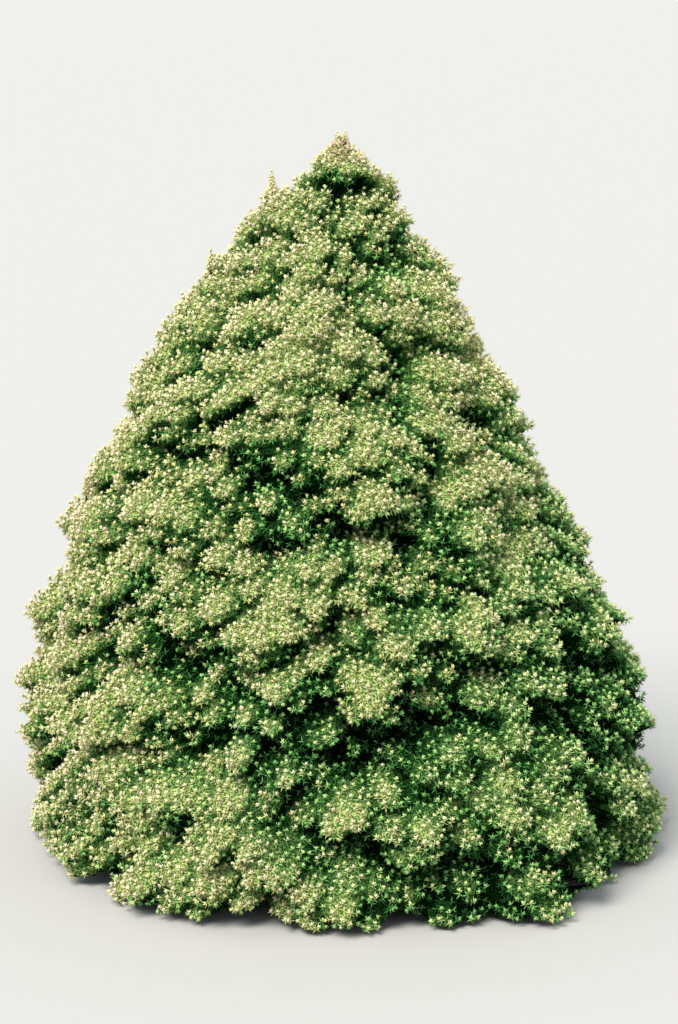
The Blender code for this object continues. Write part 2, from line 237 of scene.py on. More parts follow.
def crown_distance(start, ways):
    """How far the crown's surface lies from a point inside it, in each direction."""
    near, far = np.zeros(len(ways)), np.full(len(ways), LONGEST_REACH)
    for _ in range(HALVINGS):
        halfway = (near + far) / 2
        spots = start + ways * halfway[:, None]
        inside = np.hypot(spots[:, 0] - axis_across(spots[:, 2]), spots[:, 1]) < crown_radius(spots[:, 2])
        near, far = np.where(inside, halfway, near), np.where(inside, far, halfway)
    return near


print("a cushion knows its reach and its room")

# %% [markdown]
# All the cushions
#
# Five tiers of cushions and one on top, with the same seed and the same order of random draws as in
# the solids, or every cushion would come out a little different from the one that it has to cover.

# %% Plan the cushions
SEED = 11
DEPTH = 0.12
DEPTH_PER_RADIUS = 0.08
CREST_DEPTH = 0.75
HEIGHT_JITTER = 0.12
OVERLAP_ACROSS = 0.92
CORE_INSET = 0.016
LUMPS = 8
LUMP_CAP = math.radians(78)
LUMP_RADIUS = 0.058
LUMP_BULGE = 0.02
LUMP_SIZES = (0.8, 1.15)
LUMP_BULGES = (0.1, 1.3)
SET_BACK = (0.88, 0.98)
# Each tier's name, its height, whether it stands on boughs, and the azimuths of its cushions
TIERS = (
    ("skirt", 0.12, True, (-76, -37, 3, 46, 96, 138, 176, 212, 250)),
    ("lower", 0.36, True, (-68, -14, 38, 90, 142, 196, 246)),
    ("middle", 0.565, True, (-42, 12, 64, 124, 186, 250)),
    ("upper", 0.745, True, (-12, 66, 136, 206, 278)),
    ("crest", 0.905, False, (36, 156, 276)),
)
TOP_MIDDLE = 1.02
TOP_WIDTH = 0.1
TOP_SHIFT = 0.022
LEADERS = {"top_foliage": (0, 0, HEIGHT), "crest_foliage_3": (-0.11, -0.01, 1.075)}
LEADER_RADIUS = 0.022
LEADER_RAISE = 0.058


def lumps_for(cushion, rng):
    """Smaller round lumps on the outer side, which make it billow."""
    lumps = []
    for way in spread_ways(LUMPS, cushion.turn[0], LUMP_CAP):
        radius = LUMP_RADIUS * rng.uniform(*LUMP_SIZES)
        bulge = LUMP_BULGE * rng.uniform(*LUMP_BULGES)
        lumps.append((way * (cushion.reach(way)[0] + bulge - radius), radius))
    if cushion.name in LEADERS:
        radius = LEADER_RADIUS + CORE_INSET
        tip = np.array(LEADERS[cushion.name]) - (0, 0, radius)
        lumps.append((tip - cushion.middle, radius))
    return lumps


def plan_tier(number, rng):
    """The cushions of one tier, in the order of their azimuths."""
    tier, height, on_bough, azimuths = TIERS[number]
    above = [*(row[1] for row in TIERS), TOP_MIDDLE][number + 1]
    rise, radius = above - height, float(crown_radius(height))
    half_out = DEPTH + DEPTH_PER_RADIUS * radius
    for i, degrees in enumerate(azimuths):
        name = f"{tier}_foliage_{i + 1}"
        between = (azimuths[(i + 1) % len(azimuths)] - azimuths[i - 1]) % 360 / 2
        spacing = math.radians(between) * (radius - half_out / 2)
        middle_height = height + rise * rng.uniform(-HEIGHT_JITTER, HEIGHT_JITTER)
        if name in LEADERS:
            middle_height = height + LEADER_RAISE
        tilt = crown_tilt(middle_height)
        turn = facing(math.radians(degrees), tilt)
        depth = half_out * (1 if on_bough else CREST_DEPTH)
        inward = depth / math.cos(tilt) * rng.uniform(*SET_BACK)
        level = unit(turn[0] * (1, 1, 0))
        middle = axis_point(middle_height) + level * (float(crown_radius(middle_height)) - inward)
        halves = (depth, spacing * OVERLAP_ACROSS, rise)
        yield Cushion(name, tier, middle, turn, halves, on_bough)


def plan_cushions():
    """Every cushion with its lumps, the top one last."""
    rng = random.Random(SEED)
    cushions = [cushion for number in range(len(TIERS)) for cushion in plan_tier(number, rng)]
    middle = axis_point(TOP_MIDDLE) + (TOP_SHIFT, 0, 0)
    halves = (HEIGHT - TOP_MIDDLE, TOP_WIDTH, TOP_WIDTH)
    cushions.append(Cushion("top_foliage", "top", middle, facing(0, math.radians(90)), halves, False))
    for cushion in cushions:
        cushion.lumps = lumps_for(cushion, rng)
    return cushions


CUSHIONS = plan_cushions()
print(len(CUSHIONS), "cushions planned")

# %% [markdown]
# Walls between neighbours
#
# Two cushions share the gap between their middles by their reaches, and a flat wall stands there. The
# ground and the trunk are walls too. What lies behind a wall belongs to the neighbour.

# %% Give each cushion its own space
SPACE_MARGIN = 0.0015
GROUND_GAP = 0.004
TRUNK_GAP = 0.008
TRUNK_TIP_HEIGHT = 0.955
TRUNK_FOOT_RADIUS = 0.027
TRUNK_TIP_RADIUS = 0.005
FLARE_RADIUS = 0.02
FLARE_HEIGHT = 0.045


def trunk_radius(height):
    """An even taper with a flare at the foot."""
    taper = TRUNK_FOOT_RADIUS + (TRUNK_TIP_RADIUS - TRUNK_FOOT_RADIUS) * height / TRUNK_TIP_HEIGHT
    return taper + FLARE_RADIUS * math.exp(-max(height, 0) / FLARE_HEIGHT)


def wall_off(cushion):
    """Stand flat walls between a cushion and its neighbours, the ground and the trunk."""
    for other in CUSHIONS:
        if other is cushion:
            continue
        gap = other.middle - cushion.middle
        way = unit(gap)
        mine, theirs = cushion.reach(way)[0], other.reach(-way)[0]
        distance = np.linalg.norm(gap) * mine / (mine + theirs) - SPACE_MARGIN
        cushion.walls.append((way, distance))
    cushion.walls.append((-UP, cushion.middle[2] - GROUND_GAP))
    if cushion.tier == "top":
        cushion.walls.append((-UP, cushion.middle[2] - TRUNK_TIP_HEIGHT - TRUNK_GAP))
        return
    axis_gap = (cushion.middle - axis_point(cushion.middle[2])) @ cushion.level
    trunk_room = trunk_radius(cushion.middle[2] - cushion.halves[2]) + TRUNK_GAP
    cushion.walls.append((-cushion.level, axis_gap - trunk_room))


for planned in CUSHIONS:
    wall_off(planned)


def box_middle(name):
    """The middle of a solid's box."""
    low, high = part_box(name)
    return np.array((low + high) / 2)


drift = max(np.linalg.norm(box_middle(planned.name) - planned.middle) for planned in CUSHIONS)
print(f"furthest planned middle from its solid's box middle: {drift * 1000:.0f} mm")

# %% [markdown]
# The crown as a net
#
# Seen whole, the crown is one billowing surface. A net of points is laid over the rounded cone, rows
# up the profile and columns round it, and every later step only moves these points in or out. That is
# quick with arrays, and it leaves no gaps, which separate balls of foliage would.

# %% Lay the net
NET_STEP = 0.004
NET_COLUMNS = 880
FOOT_TUCK = 0.018
FOOT_TUCK_HEIGHT = 0.055
NET_FOOT = 0.006
NET_TOP_GAP = 0.0005
PROFILE_STEPS = 4000


def level_ways(azimuths):
    """Level directions at azimuths in radians, counted from the front to the right."""
    return np.stack([np.sin(azimuths), -np.cos(azimuths), np.zeros(len(azimuths))], axis=1)


def even_heights():
    """Heights up the crown, one step of the profile's own length apart."""
    heights = np.linspace(NET_FOOT, HEIGHT - NET_TOP_GAP, PROFILE_STEPS)
    lengths = np.hypot(np.diff(heights), np.diff(crown_radius(heights)))
    travelled = np.concatenate([[0], np.cumsum(lengths)])
    return np.interp(np.arange(0, travelled[-1], NET_STEP), travelled, heights)


NET_HEIGHTS = even_heights()
net_radius = crown_radius(NET_HEIGHTS)
net_tilt = np.array([crown_tilt(height) for height in NET_HEIGHTS])
net_level = level_ways(np.linspace(0, math.tau, NET_COLUMNS, endpoint=False))
net_axis = np.array([axis_point(height) for height in NET_HEIGHTS])
net_base = net_axis[:, None] + net_level[None] * net_radius[:, None, None]
leaning_back = net_tilt[:, None, None]
net_out = net_level[None] * np.cos(leaning_back) + UP * np.sin(leaning_back)
print("a net of", net_base.shape[:2], "points")

# %% [markdown]
# Which cushion a place belongs to
#
# Each place on the net belongs to the cushion that it lies deepest in, and sinks a little where that
# cushion's own surface stays short of the cone. So the tiers show through as soft terraces, and every
# shoot that is grown later knows which cushion's stem it has to hang on.

# %% Sink the net between the cushions
CREASE_SHARE = 0.35
CREASE_LIMIT = 0.02
BULGE_LIMIT = 0.008


def closeness(cushion, points):
    """Squared distance from a cushion's middle, measured in its own half widths."""
    gaps = points - cushion.middle
    shares = [gaps @ direction / half for direction, half in zip(cushion.turn, cushion.halves)]
    return sum(share**2 for share in shares)


flat_base = net_base.reshape(-1, 3)
net_owner = np.argmin([closeness(cushion, flat_base) for cushion in CUSHIONS], axis=0)
sunk = np.zeros(len(flat_base))
for i, cushion in enumerate(CUSHIONS):
    mine = net_owner == i
    gaps = flat_base[mine] - cushion.middle
    far = np.linalg.norm(gaps, axis=1)
    sunk[mine] = far - cushion.reach(gaps / far[:, None])
sunk = np.clip(sunk * CREASE_SHARE, -BULGE_LIMIT, CREASE_LIMIT)
print(f"sunk by {sunk.mean() * 1000:.0f} mm on the whole")

# %% [markdown]
# Lobes and lumps
#
# Seen close, the surface swells into wide bulges, these into lobes as wide as a hand, each lobe into
# lumps of a few dozen shoots, and dark creases run between them. All three are made the same way:
# every swelling is a low dome, and where two domes meet, the higher one shows, which leaves a sharp
# crease. A noise would give bumps too, but with soft valleys and no creases.

# %% Choose places on the net
DOME_PLACES = 14_000
grower = np.random.default_rng(SEED)


def thin_out(points, spacings, order):
    """Numbers of points that keep the widest spacing, then fill what is left at the narrower ones."""
    tree = kdtree.KDTree(len(points))
    for i, point in enumerate(points):
        tree.insert(point, i)
    tree.balance()
    kept = []
    for spacing in spacings:
        gone = np.zeros(len(points), bool)
        for i in kept:
            for _, j, _ in tree.find_range(points[i], spacing):
                gone[j] = True
        for i in order:
            if not gone[i]:
                kept.append(i)
                for _, j, _ in tree.find_range(points[i], spacing):
                    gone[j] = True
    return np.array(kept)


dome_places = flat_base[grower.permutation(len(flat_base))[:DOME_PLACES]]
print(len(dome_places), "places to raise domes from")

# %% Bend the net's places a little
WARP = 0.011
WARP_SIZE = 0.05
WARP_SEED = 3

noise.seed_set(WARP_SEED)
bends = np.array([noise.noise_vector(Vector(point) / WARP_SIZE) for point in flat_base])
warped = net_base + WARP * bends.reshape(net_base.shape)
print(f"bent by up to {np.abs(WARP * bends).max() * 1000:.0f} mm")

# %% Raise the bulges, the lobes and the lumps
FLATTER = 1.3
STEEPER = 2.8
BLOCK = 64


def domes(spacings, sizes, tops, relief, deepest, lean):
    """Heights over the net of low domes, flat on top and ever steeper towards the crease round them."""
    middles = dome_places[thin_out(dome_places, spacings, range(len(dome_places)))]
    tops, sizes = (grower.uniform(*limits, len(middles)) for limits in (tops, sizes))
    margin = sizes.max() * (2 * deepest / relief) ** (1 / STEEPER)
    heights = np.zeros(net_base.shape[:2])
    for row in range(0, heights.shape[0], BLOCK):
        for column in range(0, heights.shape[1], BLOCK):
            block = np.s_[row : row + BLOCK, column : column + BLOCK]
            points = warped[block].reshape(-1, 3)
            low, high = points.min(axis=0) - margin, points.max(axis=0) + margin
            near = np.all((middles > low) & (middles < high), axis=1)
            gaps = points[:, None] - middles[near][None]
            leaning = lean * gaps[..., 2]
            gaps[..., 2] *= FLATTER
            shares = np.linalg.norm(gaps, axis=2) / sizes[near]
            highest = (tops[near] - leaning - relief * shares**STEEPER).max(axis=1)
            heights[block] = np.maximum(highest, -deepest).reshape(heights[block].shape)
    print(len(middles), "domes")
    return heights


# Spacings, sizes, tops, the relief at one size out, the deepest crease and how far they lean down
bulges = domes((0.26, 0.2), (0.11, 0.15), (-0.006, 0.006), 0.01, 0.03, 0.1)
lobes = domes((0.15, 0.1), (0.052, 0.085), (-0.014, 0.004), 0.022, 0.055, 0.2)
lumps = domes((0.054, 0.038), (0.018, 0.030), (-0.009, 0.003), 0.012, 0.026, 0.2)
print(f"lumps from {lumps.min() * 1000:.0f} to {lumps.max() * 1000:.0f} mm")

# %% [markdown]
# Hollows and swells
#
# In a few places the photograph looks into a dark pocket under a lobe. Each is a dip in the net, set
# by its azimuth round the trunk, its height, its half width and half height, and its depth. The crown
# isn't a perfect cone either: its edge runs a little outside it in some places and inside in others,
# and a low lobe stands out at the right. Rows of the same kind push the net out there, or in where
# the last value is below nothing. Moving the cone itself would shift the cushions too, and they have
# to stay where the solids are.

# %% Read a row that has its place on the crown


def set_by(row, points):
    """How much of a row's last value each point gets: all at its middle, less and less round it."""
    azimuth, height, half_width, half_height, amount = row
    outward, across, _ = facing(math.radians(azimuth), 0)
    middle = axis_point(height) + outward * float(crown_radius(height))
    gaps = points - middle
    share = (gaps @ across / half_width) ** 2 + (gaps[:, 2] / half_height) ** 2
    return (points @ outward > 0) * amount * np.exp(-share)


def set_by_all(rows, points):
    """What all the rows together give each point."""
    return sum(set_by(row, points) for row in rows)


front = axis_point(0.5) - (0, float(crown_radius(0.5)), 0)
print("a row of 2 gives its own middle", set_by((0, 0.5, 0.1, 0.1, 2), front[None]).round(2))

# %% Sink the hollows
HOLLOWS = (
    (-2, 0.315, 0.022, 0.020, 0.105),
    (19, 0.275, 0.030, 0.018, 0.090),
    (45, 0.270, 0.050, 0.020, 0.090),
    (-1, 0.240, 0.030, 0.018, 0.075),
    (-12, 0.250, 0.025, 0.018, 0.075),
    (6, 0.215, 0.030, 0.015, 0.075),
    (53, 0.170, 0.024, 0.130, 0.115),
    (27, 0.078, 0.022, 0.014, 0.070),
    (31, 0.125, 0.020, 0.012, 0.075),
    (20, 0.140, 0.020, 0.014, 0.060),
    (22, 0.400, 0.025, 0.015, 0.075),
    (33, 0.360, 0.030, 0.015, 0.075),
    (26, 0.290, 0.020, 0.015, 0.060),
    (41, 0.410, 0.025, 0.014, 0.060),
    (30, 0.460, 0.025, 0.012, 0.060),
    (-2, 0.420, 0.020, 0.014, 0.060),
    (-46, 0.355, 0.045, 0.014, 0.075),
    (-56, 0.330, 0.030, 0.016, 0.060),
    (10, 0.572, 0.035, 0.014, 0.075),
    (19, 0.577, 0.030, 0.012, 0.060),
    (-13, 0.540, 0.030, 0.012, 0.060),
    (-24, 1.078, 0.036, 0.012, 0.004),
    (26, 1.066, 0.040, 0.012, 0.018),
    (8, 1.060, 0.030, 0.010, 0.016),
)

hollows = set_by_all(HOLLOWS, flat_base)
print(f"hollows up to {hollows.max() * 1000:.0f} mm")

# %% Swell the outline
SWELLS = (
    (5, 0.650, 0.11, 0.050, 0.016),
    (-4, 0.460, 0.09, 0.035, 0.016),
    (36, 0.140, 0.090, 0.085, 0.036),
    (-28, 0.190, 0.09, 0.055, 0.012),
    (24, 0.320, 0.06, 0.020, 0.016),
    (-8, 0.350, 0.06, 0.020, 0.014),
    (12, 0.240, 0.05, 0.016, 0.014),
    (-88, 0.480, 0.10, 0.050, 0.038),
    (-88, 0.250, 0.12, 0.070, 0.038),
    (90, 0.260, 0.12, 0.060, 0.016),
    (85, 0.040, 0.10, 0.040, 0.020),
    (-88, 0.815, 0.08, 0.040, 0.034),
    (90, 0.750, 0.08, 0.040, 0.030),
    (88, 0.880, 0.07, 0.040, 0.014),
    (-88, 0.650, 0.08, 0.030, -0.014),
    (34, 0.050, 0.12, 0.045, 0.016),
    (66, 0.250, 0.06, 0.060, 0.022),
    (64, 0.120, 0.06, 0.050, 0.020),
    (-34, 0.030, 0.08, 0.040, 0.020),
    (-48, 0.030, 0.08, 0.050, -0.036),
    (36, 0.045, 0.10, 0.040, 0.018),
    (60, 0.030, 0.06, 0.030, -0.020),
    (-66, 1.040, 0.040, 0.034, 0.024),
    (-60, 1.095, 0.030, 0.020, 0.010),
    (-88, 0.425, 0.08, 0.030, 0.018),
    (-88, 0.220, 0.08, 0.030, 0.012),
    (-64, 0.030, 0.06, 0.030, 0.010),
    (-76, 0.020, 0.12, 0.035, -0.034),
    (-62, 0.020, 0.05, 0.030, 0.014),
    (-88, 0.350, 0.10, 0.070, 0.008),
    (-88, 0.290, 0.10, 0.035, 0.016),
    (-88, 0.230, 0.10, 0.040, 0.016),
    (84, 0.230, 0.10, 0.040, 0.030),
    (90, 0.655, 0.08, 0.040, 0.012),
    (-88, 0.070, 0.12, 0.030, -0.022),
    (86, 0.370, 0.08, 0.030, 0.022),
    (84, 0.020, 0.08, 0.030, -0.030),
)

swells = set_by_all(SWELLS, flat_base)
print(f"swells up to {swells.max() * 1000:.0f} mm")

# %% [markdown]
# The crown's surface
#
# Now every point of the net moves by the sum of it all. Foliage hangs over as it grows out, so a point
# drops by half of what it moves outward, and each lobe gets a shaded underside. Near the ground the
# lobes are lower and the skirt tucks in, and near the tip all of it is slimmer.

# %% Move the net
DROOP = 0.5
SLIM_FOR = 0.08
SLIMMEST = 0.4
RAISED = 0.014
FOOT_CALM = 0.5
FOOT_CALM_HEIGHT = 0.08

slim = np.clip(net_radius / SLIM_FOR, SLIMMEST, 1)[:, None]
calm = (FOOT_CALM + (1 - FOOT_CALM) * np.clip(NET_HEIGHTS / FOOT_CALM_HEIGHT, 0, 1))[:, None]
forms = (bulges + lobes) * calm + (swells - sunk - hollows).reshape(lumps.shape)
moved = (forms + lumps + RAISED) * slim
drooping = net_out - UP * DROOP * slim[..., None]
tuck = FOOT_TUCK * np.exp(-NET_HEIGHTS / FOOT_TUCK_HEIGHT)
net = net_base + drooping * moved[..., None] - net_level[None] * tuck[:, None, None]
net[..., 2] = np.maximum(net[..., 2], NET_FOOT)
print(f"moved by {moved.min() * 1000:.0f} to {moved.max() * 1000:.0f} mm")

# %% Which way the net faces
upwards = np.gradient(net, axis=0)
around = np.roll(net, -1, axis=1) - np.roll(net, 1, axis=1)
crossed = np.cross(around, upwards)
cell_area = np.linalg.norm(crossed, axis=2)
net_normals = unit(crossed)
outward_share = np.mean(np.sum(net_normals * net_out, axis=2) > 0)
print(f"{cell_area.sum() / 2:.2f} square metres of foliage, {outward_share:.2f} of it facing outward")

# %% [markdown]
# Places for the shoots
#
# Shoots stand all over that surface, little more than a centimetre apart. Places are dealt over it at
# random, as many to each patch as it is large, and thinned, first with the widest gaps and then in
# what is left. So the shoots are even, but not in rows.

# %% Deal places over the net
SHOOT_PLACES = 150_000

chances = (cell_area / cell_area.sum()).ravel()
rows, columns = np.divmod(grower.choice(cell_area.size, SHOOT_PLACES, p=chances), NET_COLUMNS)
rows = np.minimum(rows, len(NET_HEIGHTS) - 2)
along, across = grower.random((2, SHOOT_PLACES, 1))


def on_net(values):
    """Values of the net at the dealt places, between its rows and columns."""
    right = (columns + 1) % NET_COLUMNS
    low = values[rows, columns] * (1 - across) + values[rows, right] * across
    high = values[rows + 1, columns] * (1 - across) + values[rows + 1, right] * across
    return low * (1 - along) + high * along


dealt_places, dealt_normals = on_net(net), unit(on_net(net_normals))
dealt_form, dealt_lump = on_net(np.stack([forms, lumps], axis=-1)).T
dealt_owner = net_owner.reshape(moved.shape)[rows, columns]
print(f"{SHOOT_PLACES / cell_area.sum() * 2 / 1e4:.1f} places on a square centimetre")

# %% Keep the places that stand apart
SHOOT_SPACINGS = (0.0130, 0.0116, 0.0106)
SHOOT_LENGTH = 0.017
GROUND_LIMIT = 0.014
UNEVEN = 0.004
UNEVEN_CHANCE = 0.4
# The size of each noise from here on, and a shift that sets it apart from the others
PATTERN_SIZES = {
    "uneven": (0.022, 5.0),
    "patch": (0.13, 3.0),
    "tuft": (0.032, 11.0),
    "warm": (0.12, 7.0),
    "blush": (0.16, 9.0),
}


def patchiness(points, pattern):
    """A smooth noise, from -1 to 1, at each point."""
    size, shift = PATTERN_SIZES[pattern]
    return np.array([noise.noise(Vector(point) / size + Vector((shift, 0, 0))) for point in points])


allowed = np.flatnonzero(dealt_places[:, 2] > GROUND_LIMIT)
chosen = allowed[thin_out(dealt_places[allowed], SHOOT_SPACINGS, range(len(allowed)))]
shoot_tips, shoot_normals = dealt_places[chosen], dealt_normals[chosen]
shoot_form, shoot_lump = dealt_form[chosen], dealt_lump[chosen]
shoot_owner = dealt_owner[chosen]
uneven = patchiness(shoot_tips, "uneven") + UNEVEN_CHANCE * grower.normal(size=len(shoot_tips))
shoot_tips = shoot_tips + shoot_normals * (UNEVEN * uneven)[:, None]
print(len(shoot_tips), "shoots")

# %% [markdown]
# Leaders
#
# The top shoot of a conifer stands up straight. Here it is a small mound of shoots with two thin tips
# over it. A second leader has grown on the left out of a wider foot, and two small ones stand further
# down that side. Each row is one spire of shoots round an upright twig: the place of its tip, its
# height, its half width and its number of shoots.

# %% Stand up the leaders
SPIRES = (
    (0.003, 0.0, 1.138, 0.034, 0.040, 76),
    (0.010, 0.0, 1.146, 0.012, 0.003, 10),
    (-0.003, 0.005, 1.145, 0.012, 0.003, 10),
    (-0.105, -0.03, 1.088, 0.034, 0.008, 38),
    (-0.104, -0.03, 1.070, 0.024, 0.021, 26),
    (-0.201, -0.02, 0.963, 0.030, 0.009, 34),
    (-0.404, -0.01, 0.602, 0.030, 0.007, 32),
)
NARROW_SPIRE = 0.01
SPIRE_SIZE = 0.65
SPIRE_FILL = 0.6
SPIRE_UPTURN = 1.6


def spire_shoots(spire):
    """Tips and normals of the shoots of one leader, from its top down and more of them low."""
    height, half_width, count = spire[3:]
    share = (np.arange(count) / count) ** SPIRE_FILL
    level = level_ways(np.arange(count) * GOLDEN_ANGLE)
    tips = np.array(spire[:3]) + level * (half_width * share)[:, None]
    tips[:, 2] -= height * share
    return tips, unit(level + UP * (SPIRE_UPTURN - share)[:, None])


spires = [spire_shoots(spire) for spire in SPIRES]
spire_tips, spire_normals = (np.concatenate(rows) for rows in zip(*spires))
spire_owner = np.argmin([closeness(cushion, spire_tips) for cushion in CUSHIONS], axis=0)
shoot_tips = np.concatenate([shoot_tips, spire_tips])
shoot_normals = np.concatenate([shoot_normals, spire_normals])
shoot_form = np.concatenate([shoot_form, np.zeros(len(spire_tips))])
shoot_lump = np.concatenate([shoot_lump, np.zeros(len(spire_tips))])
shoot_owner = np.concatenate([shoot_owner, spire_owner])
shoot_spire = np.full(len(shoot_tips), -1)
shoot_spire[-len(spire_tips) :] = np.repeat(range(len(SPIRES)), [len(tips) for tips, _ in spires])
in_narrow_spire = np.array([spire[4] < NARROW_SPIRE for spire in SPIRES] + [False])[shoot_spire]
print(len(spire_tips), "shoots in the leaders")

# %% [markdown]
# How each shoot is lit, partly as painted light and shade
#
# Part of this is real: new growth is palest where it gets the most light, on the tops of the lobes and
# on the left side of this tree, and shoots under a lobe or deep in a crease stay green. The rest is
# painted light and shade. One number for each place, its share of light, decides which of the plain
# needle colours a shoot is dealt there, and how dark the painted shade on the ground between the
# shoots is. Broad and tuft-sized patches are added to it, and a few zones where the photograph is
# brighter or darker than the rule, as rows of the same kind as the hollows.

# %% Name the zones of painted light and painted shade
# Rows with a last value above nothing paint light, rows below nothing paint shade.
PAINTED_LIGHT_ZONES = (
    (-30, 0.17, 0.16, 0.070, 0.12),
    (-62, 0.40, 0.12, 0.050, -0.08),
    (50, 0.54, 0.14, 0.080, 0.34),
    (34, 0.04, 0.18, 0.060, -0.50),
    (8, 0.29, 0.26, 0.060, -0.24),
    (52, 0.20, 0.12, 0.160, -0.42),
    (24, 0.33, 0.05, 0.020, 0.30),
    (-3, 0.46, 0.10, 0.035, 0.18),
    (33, 0.16, 0.07, 0.030, 0.14),
    (-5, 0.82, 0.24, 0.150, 0.14),
    (60, 0.78, 0.20, 0.160, 0.26),
    (0, 0.68, 0.14, 0.070, -0.38),
    (0, 1.12, 0.10, 0.040, -0.40),
    (-6, 1.075, 0.07, 0.018, -0.55),
    (82, 0.28, 0.14, 0.160, -0.60),
    (30, 0.10, 0.16, 0.070, -0.20),
    (12, 0.59, 0.14, 0.022, -0.20),
    (-35, 0.60, 0.10, 0.040, -0.14),
)
print(len(PAINTED_LIGHT_ZONES), "zones")

# %% Write the rule of the painted light and shade
MIDDLE_LIGHT = 0.56
MIDDLE_UP = 0.25
UP_COUNTS = 0.46
SIDE_COUNTS = 0.16
FORM_COUNTS = 8.0
LUMP_COUNTS = 30.0
LEFT_COUNTS = 0.06
PATCH_COUNTS = 0.24
TUFT_COUNTS = 0.2
MIDDLE_FORM = np.median(shoot_form)
MIDDLE_LUMP = np.median(shoot_lump)


def light_at(points, normals, form, lump):
    """The share of painted light at each place: how far it faces up and left, and how far it stands out.
    """
    share = MIDDLE_LIGHT + UP_COUNTS * (normals[:, 2] - MIDDLE_UP) - SIDE_COUNTS * normals[:, 0]
    share += FORM_COUNTS * (form - MIDDLE_FORM) + LUMP_COUNTS * (lump - MIDDLE_LUMP)
    share += set_by_all(PAINTED_LIGHT_ZONES, points) - LEFT_COUNTS * points[:, 0] / CROWN_RADIUS
    share += TUFT_COUNTS * patchiness(points, "tuft")
    return share + PATCH_COUNTS * patchiness(points, "patch")


print(f"the middle lobe is {MIDDLE_FORM * 1000:.0f} mm high")

# %% Deal out the light
CHANCE_COUNTS = 0.08
# The narrow leaders are painted as fully lit.
SPIRE_LIGHT = 1.0

light = light_at(shoot_tips, shoot_normals, shoot_form, shoot_lump)
light += CHANCE_COUNTS * grower.normal(size=len(shoot_tips))
light[in_narrow_spire] = SPIRE_LIGHT
print(f"light from {light.min():.2f} to {light.max():.2f}, middle {np.median(light):.2f}")

# %% [markdown]
# One needle, one shoot
#
# A spruce needle is a stiff, four-angled spike 8 to 12 mm long, set singly round the twig. Here an old
# one is a three-sided spike, and a soft young one has a blunt end: two edges, square to each other,
# with four faces between them. Both are the fewest faces that stay closed. A shoot is a short twig
# with a rosette of old green needles round it and a tuft of pale new ones at its tip. A few different
# shoots are made once, each turned and sized differently wherever it is used.

# %% Shape one needle
BLUNTNESS = 0.6
NEEDLE_FACES = 4


def needle(shape, foot, lean, azimuth, length, width):
    """One three-sided spike from its foot, leaning from the twig's line."""
    tilt = Matrix.Rotation(azimuth, 4, "Z") @ Matrix.Rotation(lean, 4, "Y")
    place = Matrix.Translation(foot) @ tilt @ Matrix.Translation((0, 0, length / 2))
    bmesh.ops.create_cone(
        shape, cap_ends=True, segments=3, radius1=width / 2, radius2=0, depth=length, matrix=place
    )


def blunt_needle(shape, foot, lean, azimuth, length, width):
    """One soft young needle: four faces between a foot edge and a tip edge square to it."""
    tilt = Matrix.Translation(foot) @ Matrix.Rotation(azimuth, 4, "Z") @ Matrix.Rotation(lean, 4, "Y")
    foot_half, tip_half = width / 2, width * BLUNTNESS / 2
    corners = ((-foot_half, 0, 0), (foot_half, 0, 0), (0, -tip_half, length), (0, tip_half, length))
    a, b, c, d = (shape.verts.new(tilt @ Vector(corner)) for corner in corners)
    for face in ((a, b, c), (a, d, b), (b, d, c), (a, c, d)):
        shape.faces.new(face)


print("a needle has", NEEDLE_FACES, "faces")

# %% Set needles round a twig
# The needle's shape, their number, first and last lean, first and last foot, length and width
TUFT = (blunt_needle, 6, (2, 44), (0.82, 0.70), 0.0058, 0.0034)
ROSETTE = (needle, 9, (36, 112), (0.78, 0.25), 0.0090, 0.0028)
PATTERNS = 8
LEAN_SPREAD = (-8, 8)
TURN_SPREAD = (-0.2, 0.2)
LENGTH_SPREAD = (0.85, 1.15)


def arrays_of(shape):
    """A bmesh's vertices and triangles as arrays."""
    bmesh.ops.triangulate(shape, faces=shape.faces)
    shape.verts.index_update()
    corners = np.array([vert.co for vert in shape.verts])
    faces = np.array([[vert.index for vert in face.verts] for face in shape.faces])
    shape.free()
    return corners, faces


def whorl(rng, make, count, leans, feet, length, width):
    """Needles in a spiral down the twig, from the topmost to the lowest."""
    shape = bmesh.new()
    start = rng.uniform(0, math.tau)
    for i in range(count):
        share = (i + 0.5) / count
        lean = math.radians(leans[0] + (leans[1] - leans[0]) * share + rng.uniform(*LEAN_SPREAD))
        foot = (0, 0, SHOOT_LENGTH * (feet[0] + (feet[1] - feet[0]) * share))
        azimuth = start + i * GOLDEN_ANGLE + rng.uniform(*TURN_SPREAD)
        make(shape, foot, lean, azimuth, length * rng.uniform(*LENGTH_SPREAD), width)
    return arrays_of(shape)


pattern_rng = random.Random(SEED)
NEW_PATTERNS, OLD_PATTERNS = [], []
for _ in range(PATTERNS):
    NEW_PATTERNS.append(whorl(pattern_rng, *TUFT))
    OLD_PATTERNS.append(whorl(pattern_rng, *ROSETTE))
print(len(OLD_PATTERNS[0][1]), "faces in a rosette,", len(NEW_PATTERNS[0][1]), "in a tuft")

# %% [markdown]
# Which way the shoots point
#
# A shoot grows out of its clump, but turns up to the light. Its own axes are worked out once, so that
# rosette, tuft and twig all stand the same way.

# %% Turn and size the shoots
UPTURN = 0.45
SCATTER = 0.2
SHOOT_SIZES = (0.82, 1.10)


def tangents(ways):
    """Two directions square to each way."""
    helper = np.where(np.abs(ways[:, 2:]) < 0.9, (0.0, 0.0, 1.0), (1.0, 0.0, 0.0))
    side = unit(np.cross(helper, ways))
    return side, np.cross(ways, side)


